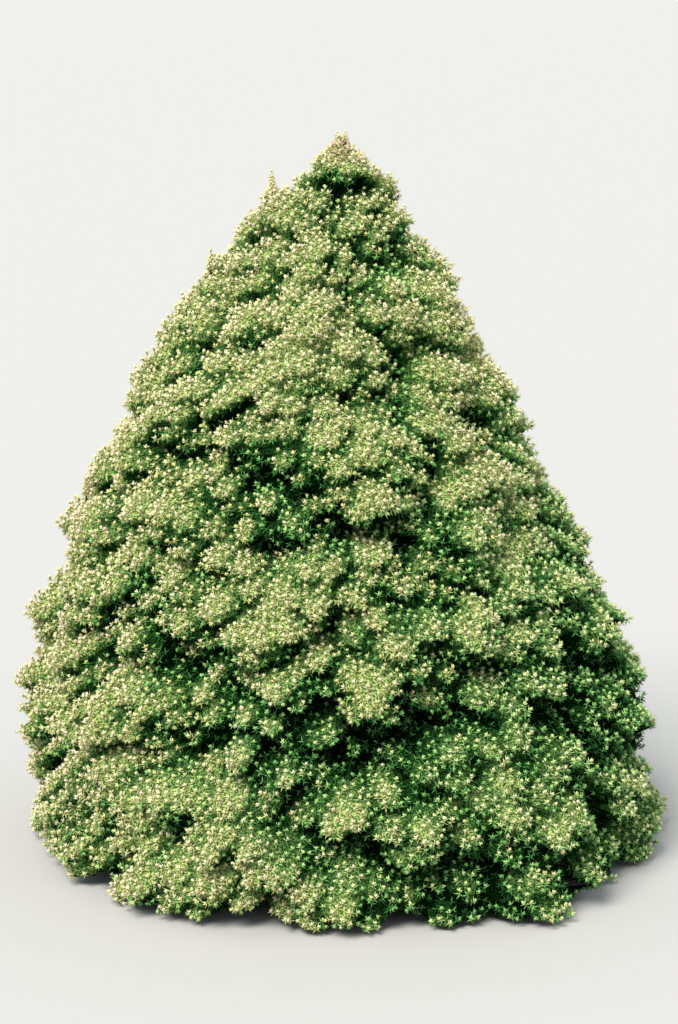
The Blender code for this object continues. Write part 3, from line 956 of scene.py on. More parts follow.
lifted = shoot_normals + UP * UPTURN + SCATTER * grower.normal(size=shoot_normals.shape)
shoot_aim = unit(lifted)
shoot_size = grower.uniform(*SHOOT_SIZES, len(shoot_tips))
shoot_size[in_narrow_spire] *= SPIRE_SIZE
shoot_feet = shoot_tips - shoot_aim * (SHOOT_LENGTH * shoot_size)[:, None]
shoot_pattern = grower.integers(0, PATTERNS, len(shoot_tips))
spin = grower.uniform(0, math.tau, len(shoot_tips))
side, other = tangents(shoot_aim)
shoot_x = side * np.cos(spin)[:, None] + other * np.sin(spin)[:, None]
shoot_y = np.cross(shoot_aim, shoot_x)
print("shoots turned up by", UPTURN)

# %% [markdown]
# The needle colours
#
# Eleven plain colours, one material each: greens from a painted deep shade to a leaf green, then lime,
# olive, straw, butter, ivory and a blush for new growth, and a little rust for the dead tips at the
# top. A pattern can't be used, since it would land at random on needles that are smaller than its own
# grain.
# The variety comes from dealing the colours out by light, as painted light and shade. Each step of
# light has a cool and a warm colour, as the left and upper parts of the crown are yellower, and the
# upper needles of a rosette are painted a step lighter than those under them.

# %% Make the needle materials
NEEDLE_COLOURS = {
    # The first two greens are painted shade: the darkest for needles deep in hollows, the next for needles
    # under lobes.
    "needle_painted_deep_shade": (0.015, 0.070, 0.014),
    "needle_painted_shade": (0.055, 0.215, 0.045),
    "needle_green": (0.165, 0.368, 0.097),
    "needle_leaf": (0.292, 0.490, 0.155),
    "needle_lime": (0.462, 0.582, 0.220),
    "needle_olive": (0.400, 0.470, 0.160),
    "needle_straw": (0.515, 0.540, 0.215),
    "needle_butter": (0.555, 0.545, 0.258),
    "needle_ivory": (0.600, 0.575, 0.345),
    "needle_blush": (0.600, 0.520, 0.355),
    "needle_rust": (0.400, 0.275, 0.190),
}
NEEDLE_ROUGHNESS = 0.55


def plain_material(name, colour, roughness, gloss=0.2):
    """A finish of one colour all over."""
    material = bpy.data.materials.new(name)
    material.use_nodes = True
    shader = material.node_tree.nodes["Principled BSDF"]
    shader.inputs["Base Color"].default_value = (*colour, 1)
    shader.inputs["Roughness"].default_value = roughness
    shader.inputs["Specular IOR Level"].default_value = gloss
    return material


NEEDLE_FINISH = [plain_material(name, colour, NEEDLE_ROUGHNESS) for name, colour in NEEDLE_COLOURS.items()]
print(len(NEEDLE_FINISH), "needle colours")

# %% Name the colour of each step of light
# Low steps of light give painted shade, high steps painted light.
OLD_STEPS = (
    (0.00, "needle_painted_deep_shade", "needle_painted_deep_shade"),
    (0.24, "needle_painted_shade", "needle_painted_shade"),
    (0.44, "needle_green", "needle_green"),
    (0.74, "needle_leaf", "needle_olive"),
    (0.98, "needle_lime", "needle_straw"),
    (9.0, "needle_lime", "needle_butter"),
)
NEW_STEPS = (
    (0.00, "needle_painted_shade", "needle_olive"),
    (0.22, "needle_green", "needle_olive"),
    (0.38, "needle_leaf", "needle_straw"),
    (0.54, "needle_lime", "needle_butter"),
    (0.74, "needle_butter", "needle_butter"),
    (9.0, "needle_ivory", "needle_ivory"),
)
COLOUR_NAMES = list(NEEDLE_COLOURS)


def dealt(steps, amount):
    """The colour number of each shoot from its share of light, and from whether it is a warm one."""
    limits = np.array([limit for limit, _, _ in steps[:-1]])
    numbers = np.array([[COLOUR_NAMES.index(name) for name in names] for _, *names in steps])
    return numbers[np.searchsorted(limits, amount), warm.astype(int)]


print(len(OLD_STEPS), "steps for old needles,", len(NEW_STEPS), "for new ones")

# %% Choose the warm shoots
WARM_UP = 0.60
WARM_FROM = 0.45
WARM_LEFT = 0.45
# Lit shoots lean to the warm colours, as painted light; the rest of the warmth is a tint by place.
WARM_LIGHT = 0.5
WARM_PATCH = 0.4
COLOUR_CHANCE = 0.08


def chance(much):
    """Another small amount for each shoot, as no two grow alike."""
    return much * grower.normal(size=len(light))


warmth = WARM_UP * (shoot_tips[:, 2] / HEIGHT - WARM_FROM) - WARM_LEFT * shoot_tips[:, 0] / CROWN_RADIUS
warm_patches = WARM_PATCH * patchiness(shoot_tips, "warm")
warmth += WARM_LIGHT * (light - np.median(light)) + warm_patches
warm = warmth + chance(COLOUR_CHANCE) > 0
print(f"{warm.mean():.2f} of the shoots are warm")

# %% Deal out the colours
# The upper needles of each rosette are painted a step lighter and the lower ones a little darker, as
# painted light and shade.
HIGH_NEEDLES = 4
HIGH_PAINTED_LIGHT = 0.20
LOW_PAINTED_SHADE = 0.06

low_colour = dealt(OLD_STEPS, light - LOW_PAINTED_SHADE + chance(COLOUR_CHANCE))
high_colour = dealt(OLD_STEPS, light + HIGH_PAINTED_LIGHT + chance(COLOUR_CHANCE))
new_colour = dealt(NEW_STEPS, light)
print(f"{len(np.unique(new_colour))} colours in the new tufts")

# %% [markdown]
# Blush and rust
#
# In some patches of this crown the newest tufts have a pinkish cast, more on the left, and at the very
# top a few have died and gone rusty. Both are dealt to lit tufts by a patchy noise and a few zones. The
# needles keep their places, and only the colour number changes.

# %% Let some tufts blush or rust
BLUSH_LIGHT = 0.5
BLUSH_SHARE = 0.2
BLUSH_LEFT = 0.8
BLUSH_PATCH = 1.5
BLUSH_CHANCE = 0.4
BLUSH_ZONES = (
    (-60, 0.40, 0.12, 0.060, 1.2),
    (30, 0.885, 0.05, 0.030, 1.8),
    (0, 1.12, 0.09, 0.040, 1.6),
    (-45, 0.98, 0.08, 0.060, 0.8),
)
RUST_ZONE = (0, 1.128, 0.024, 0.024, 1.0)
RUST_LIMIT = 0.5
RUST_CHANCE = (0.5, 1.5)

blushing = BLUSH_PATCH * patchiness(shoot_feet, "blush") + chance(BLUSH_CHANCE)
blushing += set_by_all(BLUSH_ZONES, shoot_tips)
blushing -= BLUSH_LEFT * shoot_tips[:, 0] / CROWN_RADIUS
blush = (light > BLUSH_LIGHT) & (blushing > np.quantile(blushing, 1 - BLUSH_SHARE))
new_colour[blush] = COLOUR_NAMES.index("needle_blush")
rusty = set_by(RUST_ZONE, shoot_tips) * grower.uniform(*RUST_CHANCE, len(light)) > RUST_LIMIT
new_colour[rusty] = COLOUR_NAMES.index("needle_rust")
for number, name in enumerate(COLOUR_NAMES):
    shares = [np.mean(colours == number) for colours in (low_colour, high_colour, new_colour)]
    print(name, "low {:.2f}, high {:.2f}, new {:.2f}".format(*shares))

# %% [markdown]
# Joined pieces
#
# A quarter of a million needles can't be as many objects. Each pattern's corners are turned and moved
# for all its shoots at once, as arrays, and every tier's needles of a kind become one mesh. The skirt
# has the most of them, so its front and its back are pieces of their own.

# %% Sort the crown into groups
GROUP_TIERS = {
    "skirt_front": ("skirt",),
    "skirt_back": ("skirt",),
    "lower": ("lower",),
    "middle": ("middle",),
    "upper": ("upper", "crest", "top"),
}


def in_group(group, tiers, depths):
    """Which shoots or cushions a group takes, from their tiers and how far back they stand."""
    taken = np.isin(tiers, GROUP_TIERS[group])
    if group.endswith("front"):
        taken &= depths < 0
    if group.endswith("back"):
        taken &= depths >= 0
    return taken


CUSHION_TIERS = np.array([cushion.tier for cushion in CUSHIONS])
CUSHION_DEPTHS = np.array([cushion.middle[1] for cushion in CUSHIONS])
GROUPS = {name: np.flatnonzero(in_group(name, CUSHION_TIERS, CUSHION_DEPTHS)) for name in GROUP_TIERS}
print({name: len(members) for name, members in GROUPS.items()}, "cushions")

# %% Turn arrays into pieces


def together(parts):
    """One set of corners and faces from many."""
    starts = np.cumsum([0] + [len(corners) for corners, _ in parts])
    faces = [faces + start for (_, faces), start in zip(parts, starts)]
    return np.concatenate([corners for corners, _ in parts]), np.concatenate(faces)


def joined_piece(name, corners, faces, materials, numbers=None):
    """One mesh object from arrays of corners and triangles."""
    mesh = bpy.data.meshes.new(name)
    mesh.vertices.add(len(corners))
    mesh.vertices.foreach_set("co", corners.astype(np.float32).ravel())
    mesh.loops.add(faces.size)
    mesh.loops.foreach_set("vertex_index", faces.astype(np.int32).ravel())
    mesh.polygons.add(len(faces))
    mesh.polygons.foreach_set("loop_start", np.arange(0, faces.size, 3, dtype=np.int32))
    for material in materials:
        mesh.materials.append(material)
    if numbers is not None:
        mesh.polygons.foreach_set("material_index", numbers.astype(np.int32))
    mesh.update(calc_edges=True)
    piece = bpy.data.objects.new(name, mesh)
    bpy.context.scene.collection.objects.link(piece)
    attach(piece, "root")
    print(name, len(faces), "faces")
    return piece


def names_of(group):
    """The solids that a group's pieces stand in for."""
    return [CUSHIONS[i].name for i in GROUPS[group]]


print(len(names_of("skirt_front")), "solids make up the front of the skirt")

# %% Stamp the needles
TUFT_LIGHT = 0.02


def stamped(patterns, chosen, high, low):
    """Corners, triangles and colour numbers of the chosen shoots' needles."""
    parts, numbers = [], []
    for pattern, (points, triangles) in enumerate(patterns):
        rows = chosen[shoot_pattern[chosen] == pattern]
        axes = np.stack([shoot_x[rows], shoot_y[rows], shoot_aim[rows]], axis=1)
        placed = np.einsum("vk,skc->svc", points, axes * shoot_size[rows][:, None, None])
        placed += shoot_feet[rows][:, None, :]
        starts = np.arange(len(rows)) * len(points)
        parts.append((placed.reshape(-1, 3), (triangles[None] + starts[:, None, None]).reshape(-1, 3)))
        is_high = np.arange(len(triangles)) < NEEDLE_FACES * HIGH_NEEDLES
        numbers.append(np.where(is_high, high[rows][:, None], low[rows][:, None]).ravel())
    return *together(parts), NEEDLE_FINISH, np.concatenate(numbers)


total_faces = 0
for group in GROUPS:
    chosen = np.flatnonzero(in_group(group, CUSHION_TIERS[shoot_owner], shoot_feet[:, 1]))
    lit = chosen[light[chosen] > TUFT_LIGHT]
    old = joined_piece(f"{group}_old_needles", *stamped(OLD_PATTERNS, chosen, high_colour, low_colour))
    new = joined_piece(f"{group}_new_needles", *stamped(NEW_PATTERNS, lit, new_colour, new_colour))
    for piece, slot in ((old, "needles_mid"), (new, "needles_cream")):
        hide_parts(*names_of(group))
        total_faces += len(piece.data.polygons)
print(total_faces, "needle faces")

# %% [markdown]
# Trunk and boughs
#
# Spruce bark is thin and breaks into small scales that lift at their lower edge. The limbs follow the
# same lines as the solids, as tubes of fine rings, and each point is pushed out by the scale that it
# lies on. A bump alone would draw the scales too, but would leave the limb's edge smooth.

# %% Close a net into a solid skin


def net_faces(row_count, column_count):
    """Triangles between the rows and columns of a net that closes round."""
    row, column = np.meshgrid(np.arange(row_count - 1), np.arange(column_count), indexing="ij")
    a = row * column_count + column
    b = row * column_count + (column + 1) % column_count
    c, d = b + column_count, a + column_count
    return np.stack([a, b, c, a, c, d], axis=-1).reshape(-1, 3)


def closed_net(points):
    """Corners and triangles of a net with its foot and its top closed."""
    row_count, column_count = points.shape[:2]
    foot = points[0].mean(axis=0)
    top = points[-1].mean(axis=0)
    corners = np.concatenate([points.reshape(-1, 3), [foot, top]])
    near = np.arange(column_count)
    after = (near + 1) % column_count
    last = (row_count - 1) * column_count
    foot_fan = np.stack([after, near, np.full(column_count, len(corners) - 2)], axis=1)
    top_fan = np.stack([near + last, after + last, np.full(column_count, len(corners) - 1)], axis=1)
    return corners, np.concatenate([net_faces(row_count, column_count), foot_fan, top_fan])


print("a net of 3 by 4 points has", len(closed_net(np.zeros((3, 4, 3)))[1]), "faces")

# %% Lay rings along a limb
SCALE_HEIGHT = 0.016
SCALE_WIDTH = 0.013
SCALE_LIFT = 0.0014
SCALE_WAVE = 0.35


def bark_scales(travelled, angles, radii):
    """How far the bark stands out, for each ring and each angle round it."""
    many = np.maximum(np.round(math.tau * radii / SCALE_WIDTH), 3)[:, None]
    row = travelled[:, None] / SCALE_HEIGHT + SCALE_WAVE * np.sin(3 * angles)
    side = 2 * ((angles / math.tau * many + 0.5 * (np.floor(row) % 2)) % 1) - 1
    return SCALE_LIFT * (1 - row % 1) * (1 - side**4)


def limb_rings(line, radii, sides, step):
    """Middles and points of the rings of a limb, from its root to its tip."""
    line = np.asarray(line)
    travelled = np.concatenate([[0], np.cumsum(np.linalg.norm(np.diff(line, axis=0), axis=1))])
    spots = np.append(np.arange(0, travelled[-1] - step / 2, step), travelled[-1])
    middles = np.stack([np.interp(spots, travelled, line[:, axis]) for axis in range(3)], axis=1)
    radius = np.interp(spots, travelled, radii)
    side, other = tangents(unit(np.gradient(middles, axis=0)))
    angles = np.linspace(0, math.tau, sides, endpoint=False)
    ring = side[:, None] * np.cos(angles)[:, None] + other[:, None] * np.sin(angles)[:, None]
    lifted = radius[:, None] + bark_scales(spots, angles, radius)
    return middles, middles[:, None] + ring * lifted[..., None]


print(f"scales lift by {SCALE_LIFT * 1000:.1f} mm")

# %% [markdown]
# Finishes made of nodes
#
# Each scale of bark has a grey-brown of its own, and the cracks between them are dark. A picture would
# have to be wrapped round every limb. A pattern in the object's own coordinates runs through it like
# the grain of wood, with no wrapping. It is a group, because the limbs use it large and the twigs
# small. The heart's grain gets a group too, and a few helpers keep both short.

# %% Helpers for node trees


def wire(tree, *rows):
    """Link nodes: each row is a node, its output, the next node and that one's input."""
    for start, output, end, place in rows:
        tree.links.new(start.outputs[output], end.inputs[place])


def add(tree, kind, values=None, **settings):
    """A new node, with its own settings first and then values for some of its inputs."""
    node = tree.nodes.new("ShaderNode" + kind)
    for name, setting in settings.items():
        setattr(node, name, setting)
    for name, value in (values or {}).items():
        node.inputs[name].default_value = value
    return node


def new_group(name, inputs, outputs):
    """An empty node group with its sockets, and the nodes at its two ends."""
    group = bpy.data.node_groups.new(name, "ShaderNodeTree")
    for in_out, sockets in (("INPUT", inputs), ("OUTPUT", outputs)):
        for socket, kind in sockets.items():
            group.interface.new_socket(name=socket, in_out=in_out, socket_type="NodeSocket" + kind)
    return group, group.nodes.new("NodeGroupInput"), group.nodes.new("NodeGroupOutput")


def finish_from(group, name, colour, roughness, gloss, depth, values):
    """A finish that takes its colour and bump from a group, and its roughness if the group has one."""
    material = plain_material(name, colour, roughness, gloss)
    tree = material.node_tree
    shader = tree.nodes["Principled BSDF"]
    pattern = add(tree, "Group", values, node_tree=group)
    bump = add(tree, "Bump", {"Distance": depth})
    wire(
        tree,
        (pattern, "Color", shader, "Base Color"),
        (pattern, "Height", bump, "Height"),
        (bump, "Normal", shader, "Normal"),
    )
    if "Roughness" in pattern.outputs:
        wire(tree, (pattern, "Roughness", shader, "Roughness"))
    return material


print("ready to make finishes")

# %% The bark's pattern
BARK_TONE = (0.190, 0.135, 0.095)
BARK_PALE = (0.300, 0.250, 0.200)
BARK_CRACK = (0.045, 0.030, 0.022)
CRACK_WIDTH = 0.14
MOTTLE_SCALE = 1.7


def bark_group():
    """Scales with dark cracks between them: their colour, roughness and height."""
    outputs = {"Color": "Color", "Roughness": "Float", "Height": "Float"}
    group, given, put_out = new_group("bark_scales", {"Fineness": "Float", "Lightness": "Float"}, outputs)
    coordinates = add(group, "TexCoord")
    sized = add(group, "VectorMath", operation="SCALE")
    plates = add(group, "TexVoronoi", {"Scale": 1}, feature="DISTANCE_TO_EDGE")
    mottle = add(group, "TexNoise", {"Scale": MOTTLE_SCALE, "Detail": 5})
    crack = add(group, "MapRange", {"From Max": CRACK_WIDTH})
    tone = add(group, "Mix", {"A": (*BARK_TONE, 1), "B": (*BARK_PALE, 1)}, data_type="RGBA")
    cracked = add(group, "Mix", {"A": (*BARK_CRACK, 1)}, data_type="RGBA")
    rough = add(group, "MapRange", {"To Min": 0.95, "To Max": 0.7})
    height = add(group, "Math", operation="MULTIPLY")
    # Lightness scales the colour down; on the twigs this dimming is painted shade.
    dimmed = add(group, "VectorMath", operation="SCALE")
    wire(
        group,
        (coordinates, "Object", sized, 0),
        (given, "Fineness", sized, "Scale"),
        (sized, "Vector", plates, "Vector"),
        (sized, "Vector", mottle, "Vector"),
        (plates, "Distance", crack, "Value"),
        (mottle, "Fac", tone, "Factor"),
        (crack, "Result", cracked, "Factor"),
        (tone, "Result", cracked, "B"),
        (mottle, "Fac", rough, "Value"),
        (crack, "Result", height, 0),
        (mottle, "Fac", height, 1),
        (cracked, "Result", dimmed, 0),
        (given, "Lightness", dimmed, "Scale"),
        (dimmed, "Vector", put_out, "Color"),
        (rough, "Result", put_out, "Roughness"),
        (height, "Value", put_out, "Height"),
    )
    return group


BARK_GROUP = bark_group()
print(len(BARK_GROUP.nodes), "nodes in the bark's pattern")

# %% The bark's finish
BARK_SCALE_SIZE = 0.011
BARK_BUMP = 0.0012


def bark_finish(name, size, depth, lightness):
    """Bark with scales of a given size, on limbs or in miniature on twigs, dimmed by lightness; on twigs
    the dimming is painted shade.
    """
    values = {"Fineness": 1 / size, "Lightness": lightness}
    return finish_from(BARK_GROUP, name, BARK_TONE, 0.85, 0.3, depth, values)


LIMB_FINISH = bark_finish("bark", BARK_SCALE_SIZE, BARK_BUMP, 1.0)
print("bark scales", BARK_SCALE_SIZE * 1000, "mm across")

# %% Make the trunk
FLARE_ROOTS = 5
ROOT_SWELL = 0.16
TRUNK_SIDES = 40
TRUNK_STEP = 0.004
TRUNK_POINTS = 60
SIDEWAYS = np.array((1.0, 1.0, 0.0))

trunk_heights = np.linspace(0, TRUNK_TIP_HEIGHT, TRUNK_POINTS)
trunk_line = [axis_point(height) for height in trunk_heights]
trunk_radii = [trunk_radius(height) for height in trunk_heights]
middles, rings = limb_rings(trunk_line, trunk_radii, TRUNK_SIDES, TRUNK_STEP)
gaps = (rings - middles[:, None]) * SIDEWAYS
roots = np.cos(FLARE_ROOTS * np.arctan2(gaps[..., 1], gaps[..., 0]))
swell = ROOT_SWELL * roots * np.exp(-np.maximum(rings[..., 2], 0) / FLARE_HEIGHT)
rings = rings + gaps * swell[..., None]
rings[..., 2] = np.maximum(rings[..., 2], 0)
trunk = joined_piece("trunk_in_bark", *closed_net(rings), [LIMB_FINISH])
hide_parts("trunk")
print(f"{trunk.dimensions.z:.2f} m of trunk")

# %% Lay the lines of the boughs
BOUGH_ROOT_RADIUS = 0.0095
BOUGH_TIP_SHARE = 0.6
BOUGH_PER_TRUNK = 0.42
BOUGH_RISE = 0.3
BOUGH_SAG = 0.06
BOUGH_STAGGER = 0.016
BOUGH_SLIMMEST = 0.55
BOUGH_POINTS = 12
BOUGH_END = 0.9
LOWEST_BOUGH = 0.045
STEM_SHOWS = 0.03
STEM_RADIUS = 0.0055
CREST_STEM_DROP = 0.5
TOP_STEM_DROP = 0.01


def skin(cushion, ways):
    """How far the solid's core goes."""
    return np.minimum(cushion.reach(ways) - CORE_INSET, cushion.room(ways))


def bough_line(cushion):
    """The points and radii of a bough from the trunk's middle to the middle of its cushion."""
    out = cushion.turn[0]
    inner = cushion.middle - out * (skin(cushion, -out)[0] + STEM_SHOWS)
    run = (inner - axis_point(inner[2])) @ cushion.level
    stagger = BOUGH_STAGGER * (1 if int(cushion.name[-1]) % 2 else -1)
    root_height = max(inner[2] - run * BOUGH_RISE + stagger, LOWEST_BOUGH + max(stagger, 0))
    root = axis_point(root_height)
    bend = (root + inner) / 2 - UP * (run * BOUGH_SAG)
    share = np.linspace(0, 1, BOUGH_POINTS)[:, None]
    line = root * (1 - share) ** 2 + bend * 2 * share * (1 - share) + inner * share**2
    slim = BOUGH_SLIMMEST + (1 - BOUGH_SLIMMEST) * float(crown_radius(cushion.middle[2])) / CROWN_RADIUS
    thickest = min(BOUGH_ROOT_RADIUS * slim, trunk_radius(root_height) * BOUGH_PER_TRUNK)
    radii = thickest * (1 - (1 - BOUGH_TIP_SHARE) * share.ravel())
    return [*line, cushion.middle], [*radii, radii[-1] * BOUGH_END]


def stem_line(cushion):
    """The same for a cushion that stands on the trunk itself."""
    if cushion.tier == "top":
        return [axis_point(TRUNK_TIP_HEIGHT - TOP_STEM_DROP), cushion.middle], [STEM_RADIUS] * 2
    run = (cushion.middle - axis_point(cushion.middle[2])) @ cushion.level
    return [axis_point(cushion.middle[2] - run * CREST_STEM_DROP), cushion.middle], [STEM_RADIUS] * 2


print("boughs at most", BOUGH_ROOT_RADIUS * 2000, "mm thick")

# %% Make the boughs
BOUGH_SIDES = 8
BOUGH_STEP = 0.005

parts = []
for cushion in CUSHIONS:
    line, radii = bough_line(cushion) if cushion.on_bough else stem_line(cushion)
    parts.append(closed_net(limb_rings(line, radii, BOUGH_SIDES, BOUGH_STEP)[1]))
boughs = joined_piece("boughs_in_bark", *together(parts), [LIMB_FINISH])
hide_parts(*[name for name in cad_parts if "bough" in name])
print(len(parts), "limbs in it")

# %% [markdown]
# Twigs
#
# The stem that enters a cushion forks, the forks reach the clumps, and each clump's own branchlets
# carry the shoots. A closed three-sided spar, thinner at its far end, stands for each of them.

# %% Make spars and spikes
SPAR_FACES = ((0, 1, 4), (1, 2, 5), (2, 0, 3), (0, 4, 3), (1, 5, 4), (2, 3, 5), (2, 1, 0), (3, 4, 5))
SPIKE_FACES = ((2, 1, 0), (0, 1, 3), (1, 2, 3), (2, 0, 3))


def three_round(middles, starts, ends, radius):
    """Three corners round each middle, square to the line from start to end."""
    across, up = tangents(unit(ends - starts))
    angles = [corner * math.tau / 3 for corner in range(3)]
    return [middles + (across * math.cos(angle) + up * math.sin(angle)) * radius for angle in angles]


def with_faces(corners, pattern):
    """The same few faces for each row of corners."""
    starts = corners.shape[1] * np.arange(len(corners))[:, None, None]
    return corners.reshape(-1, 3), (np.array(pattern)[None] + starts).reshape(-1, 3)


def spars(starts, ends, radii):
    """Closed three-sided spars between pairs of points."""
    rings = three_round(starts, starts, ends, radii[0]) + three_round(ends, starts, ends, radii[1])
    return with_faces(np.stack(rings, axis=1), SPAR_FACES)


def spikes(starts, ends, radii):
    """Closed four-faced spikes between pairs of points, for the thinnest twigs."""
    ring = three_round(starts, starts, ends, radii[0])
    return with_faces(np.stack([*ring, ends], axis=1), SPIKE_FACES)


print("a spar has", len(SPAR_FACES), "faces, a spike", len(SPIKE_FACES))

# %% Find places under the surface
KNOT_DEPTH = 0.03
LOW_ROWS = 10


def nearest(points, choices):
    """For each point, the number of the nearest choice."""
    return np.argmin(np.linalg.norm(points[:, None] - choices[None], axis=2), axis=1)


def lowest_near(values, rows):
    """The lowest value of the net within a number of rows and columns of each point."""
    lowest = values
    for axis in (0, 1):
        margins = [(rows, rows) if side == axis else (0, 0) for side in (0, 1)]
        padded = np.pad(lowest, margins, mode="edge")
        lowest = sliding_window_view(padded, 2 * rows + 1, axis=axis).min(axis=-1)
    return lowest


LOWEST = lowest_near(moved, LOW_ROWS)


def under_surface(points):
    """Places under the points that lie deeper than any hollow beside them."""
    row = np.clip(np.searchsorted(NET_HEIGHTS, points[:, 2]), 0, len(NET_HEIGHTS) - 1)
    azimuth = np.arctan2(points[:, 0] - net_axis[row, 0], -points[:, 1]) % math.tau
    column = (azimuth / math.tau * NET_COLUMNS).astype(int) % NET_COLUMNS
    depth = LOWEST[row, column] - KNOT_DEPTH
    return net_base[row, column] + net_out[row, column] * depth[:, None]


print(f"the deepest hollow lies {-LOWEST.min() * 1000:.0f} mm in")

# %% Lay out the twigs of one cushion
FORKS = 4
FORK_CAP = math.radians(70)
FORK_SHARE = 0.3
KNOT_SPACING = 0.05
BRANCH = (0.0036, 0.0024)
SHOOT_TWIG = (0.0012, 0.0008)
TWIG_IN_SHOOT = 0.6


def twigs_of(number):
    """Pairs of points and radii for all that grows in one cushion, but its leaders."""
    cushion = CUSHIONS[number]
    ways = spread_ways(FORKS, cushion.turn[0], FORK_CAP)
    forks = cushion.middle + ways * (skin(cushion, ways) * FORK_SHARE)[:, None]
    shoots = np.flatnonzero((shoot_owner == number) & (shoot_spire < 0))
    feet = shoot_feet[shoots]
    knots = under_surface(feet[thin_out(feet, (KNOT_SPACING,), range(len(feet)))])
    in_shoots = feet + shoot_aim[shoots] * SHOOT_LENGTH * TWIG_IN_SHOOT
    return [
        (np.repeat(cushion.middle[None], FORKS, axis=0), forks, (STEM_RADIUS, BRANCH[0])),
        (forks[nearest(knots, forks)], knots, BRANCH),
        (knots[nearest(feet, knots)], in_shoots, SHOOT_TWIG),
    ]


print(len(twigs_of(0)[2][0]), "shoots hang on the first cushion")

# %% Lay out the twigs of the leaders
BRANCHLET = (0.0024, 0.0014)
SPIRE_ROOT = 0.03
SPIRE_STUB = 0.008
SPIRE_TWIG_DROP = 0.006


def leader_twigs_of(number):
    """The same for the leaders that stand on one cushion."""
    rows = []
    for i, spire in enumerate(SPIRES):
        ends = shoot_tips[(shoot_owner == number) & (shoot_spire == i)]
        if len(ends):
            tip, height = np.array(spire[:3]), spire[3]
            foot = np.array([tip - (0, 0, height + SPIRE_ROOT)])
            rows.append((foot, tip[None] - (0, 0, SPIRE_STUB + height * 0.5), BRANCHLET))
            starts = np.tile(tip, (len(ends), 1))
            starts[:, 2] = ends[:, 2] - SPIRE_TWIG_DROP
            rows.append((starts, ends, SHOOT_TWIG))
    return rows


print(sum(len(leader_twigs_of(number)) for number in range(len(CUSHIONS))), "sets of leader twigs")

# %% Grow the twigs
TWIG_SCALE_SIZE = 0.004
TWIG_BUMP = 0.0004
# The twigs' bark is dimmed to this share of the limbs' colour as painted shade, for twigs deep among the
# shoots.
TWIG_PAINTED_SHADE = 0.14

TWIG_FINISH = bark_finish("twig_bark_painted_shade", TWIG_SCALE_SIZE, TWIG_BUMP, TWIG_PAINTED_SHADE)
for group, members in GROUPS.items():
    rows = [row for i in members for row in twigs_of(i) + leader_twigs_of(i)]
    parts = [(spikes if row[2] is SHOOT_TWIG else spars)(*row) for row in rows]
    piece = joined_piece(f"{group}_twigs", *together(parts), [TWIG_FINISH])
    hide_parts(*names_of(group))
print("twigs", TWIG_FINISH.name)

# %% [markdown]
# The heart
#
# Between the shoots of such a dense tree one looks down on older needles and, in the hollows, into
# shade. One closed heart stands for all that old growth, a little more than a centimetre under the
# shoots' tips. It is the net again, with fewer points. Its faces take five tones of painted light and
# painted shade by the same rule of light that colours the shoots, so a bright tuft never stands on
# black and a hollow is painted dark, never pale. A fine noise draws needles on it that are too deep in
# to need a shape.

# %% Sink a net under the shoots
HEART_DEPTH = 0.0115
HEART_COARSER = 3
HEART_NARROWEST = 2.5
HEART_FOOT = 0.002

wide_enough = net_radius > HEART_NARROWEST * HEART_DEPTH


def on_heart(values):
    """Values of the net at the heart's own points."""
    return values[wide_enough][::HEART_COARSER, ::HEART_COARSER]


heart_net = on_heart(net - net_out * HEART_DEPTH)
heart_net[..., 2] = np.maximum(heart_net[..., 2], HEART_FOOT)
print(heart_net.shape[:2], "points in the heart")

# %% The heart's pattern
GRAIN_SIZE = 0.003
GRAIN_BUMP = 0.003
GRAIN_LIMITS = (0.44, 0.62)


def grain_group():
    """Short needles lost in shade, drawn by a fine noise: their colour and height."""
    inputs, outputs = {"Dark": "Color", "Pale": "Color"}, {"Color": "Color", "Height": "Float"}
    group, given, put_out = new_group("needle_grain", inputs, outputs)
    coordinates = add(group, "TexCoord")
    grain = add(group, "TexNoise", {"Scale": 1 / GRAIN_SIZE, "Detail": 2})
    paleness = add(group, "MapRange", {"From Min": GRAIN_LIMITS[0], "From Max": GRAIN_LIMITS[1]})
    tone = add(group, "Mix", data_type="RGBA")
    wire(
        group,
        (coordinates, "Object", grain, "Vector"),
        (grain, "Fac", paleness, "Value"),
        (paleness, "Result", tone, "Factor"),
        (given, "Dark", tone, "A"),
        (given, "Pale", tone, "B"),
        (tone, "Result", put_out, "Color"),
        (grain, "Fac", put_out, "Height"),
    )
    return group


GRAIN_GROUP = grain_group()
print(f"a grain of {GRAIN_SIZE * 1000:.0f} mm")

# %% Mix the heart's tones of painted light and shade
THICKET_PALE = (0.37, 0.42, 0.145)
THICKET_DARK = (0.04, 0.09, 0.02)
THICKET_SHADE_TONES = (1.0, 0.60, 0.32, 0.13, 0.03)
SHADE_POWERS = (1.5, 1, 1.2)


def toned(colour, tone):
    """A colour in deeper painted shade, where red fades first."""
    return tuple(part * tone**power for part, power in zip(colour, SHADE_POWERS))


# Five painted shade copies of the same grain, from the lit tone down to near black.
THICKET = []
for i, tone in enumerate(THICKET_SHADE_TONES):
    dark, pale = toned(THICKET_DARK, tone), toned(THICKET_PALE, tone)
    values = {"Dark": (*dark, 1), "Pale": (*pale, 1)}
    THICKET.append(finish_from(GRAIN_GROUP, f"thicket_{i}", dark, 0.95, 0, GRAIN_BUMP, values))
print(len(THICKET), "tones")

# %% Make the heart
THICKET_SHARES = (0.76, 0.52, 0.32, 0.15)

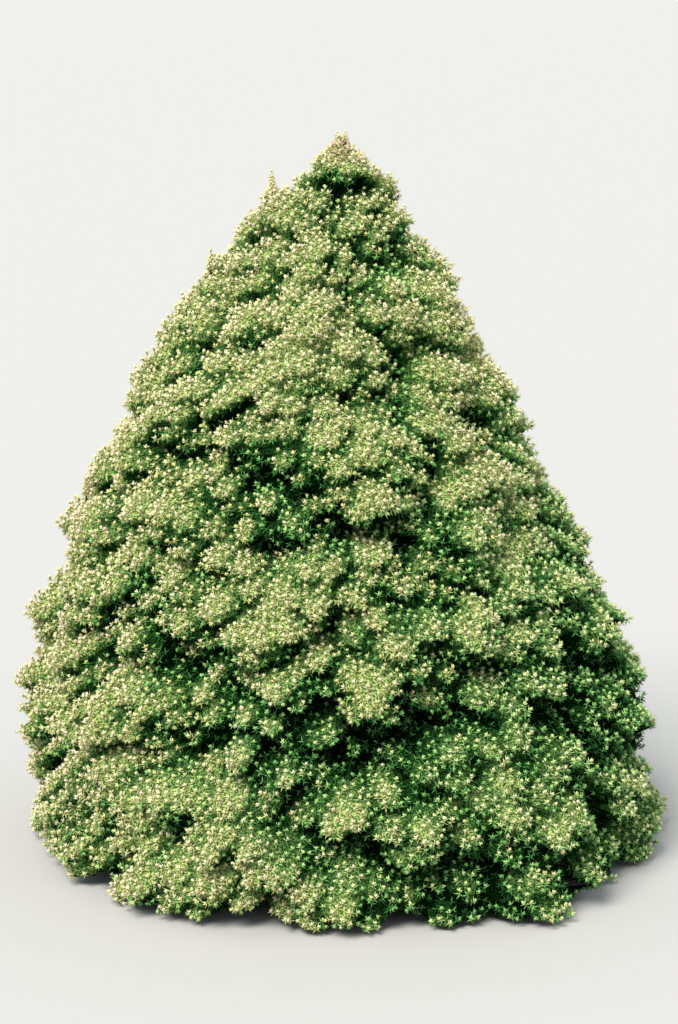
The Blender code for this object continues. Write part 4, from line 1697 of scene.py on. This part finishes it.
corners, faces = closed_net(heart_net)
whole_net = (net, net_normals, forms[..., None], lumps[..., None])
places, ways, form, lump = (on_heart(values).reshape(len(corners) - 2, -1) for values in whole_net)
ground_light = light_at(places, ways, form.ravel(), lump.ravel())
ground_light = np.concatenate([ground_light, [0, 1]])[faces].mean(axis=1)
# The faces' tones are painted light and shade, dealt by the same share of light as the shoots.
limits = np.quantile(ground_light, THICKET_SHARES)
tone = sum((ground_light < limit).astype(int) for limit in limits)
joined_piece("thicket_heart", corners, faces, THICKET, tone)
print((np.bincount(tone) / len(tone)).round(2), "of its faces in each tone")

# %% [markdown]
# Floor and light
#
# A plain pale floor, and soft light as on a bright overcast day: a wide sky, and a large soft light
# high on the left that makes the tops of the lobes bright and leaves the creases dark.

# %% Floor, sky and lights
FLOOR_SIZE = 120
FLOOR_COLOUR = (0.38, 0.375, 0.36)
SKY_COLOUR = (0.86, 0.93, 1.0)
SKY_STRENGTH = 1.05
SUN_FROM = (-0.40, -0.76, 1.0)
SUN_STRENGTH = 5.6
SUN_WIDTH = math.radians(28)
SUN_COLOUR = (1.0, 0.97, 0.92)

floor_mesh = bpy.data.meshes.new("floor")
shape = bmesh.new()
bmesh.ops.create_grid(shape, x_segments=1, y_segments=1, size=FLOOR_SIZE / 2)
shape.to_mesh(floor_mesh)
shape.free()
floor_mesh.materials.append(plain_material("floor", FLOOR_COLOUR, 0.9))
floor = bpy.data.objects.new("floor", floor_mesh)
bpy.context.scene.collection.objects.link(floor)
floor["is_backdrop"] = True

world = bpy.data.worlds.new("sky")
world.use_nodes = True
world.node_tree.nodes["Background"].inputs["Color"].default_value = (*SKY_COLOUR, 1)
world.node_tree.nodes["Background"].inputs["Strength"].default_value = SKY_STRENGTH
bpy.context.scene.world = world

sun = bpy.data.lights.new("soft_sun", "SUN")
sun.energy = SUN_STRENGTH
sun.angle = SUN_WIDTH
sun.color = SUN_COLOUR
sun_stand = bpy.data.objects.new("soft_sun", sun)
sun_stand.rotation_euler = Vector(SUN_FROM).to_track_quat("Z", "Y").to_euler()
bpy.context.scene.collection.objects.link(sun_stand)
bpy.context.scene.view_settings.view_transform = "Standard"
print("one soft sun, and colours shown as they are")

# %% Sizes and the end
LAST_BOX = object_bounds()
boxes = {"cad": FIRST_BOX, "visual": LAST_BOX}
{name: [list(corner) for corner in box] for name, box in boxes.items()}
first_size, last_size = FIRST_BOX[1] - FIRST_BOX[0], LAST_BOX[1] - LAST_BOX[0]
print("grown by", [round(b - a, 4) for a, b in zip(first_size, last_size)])
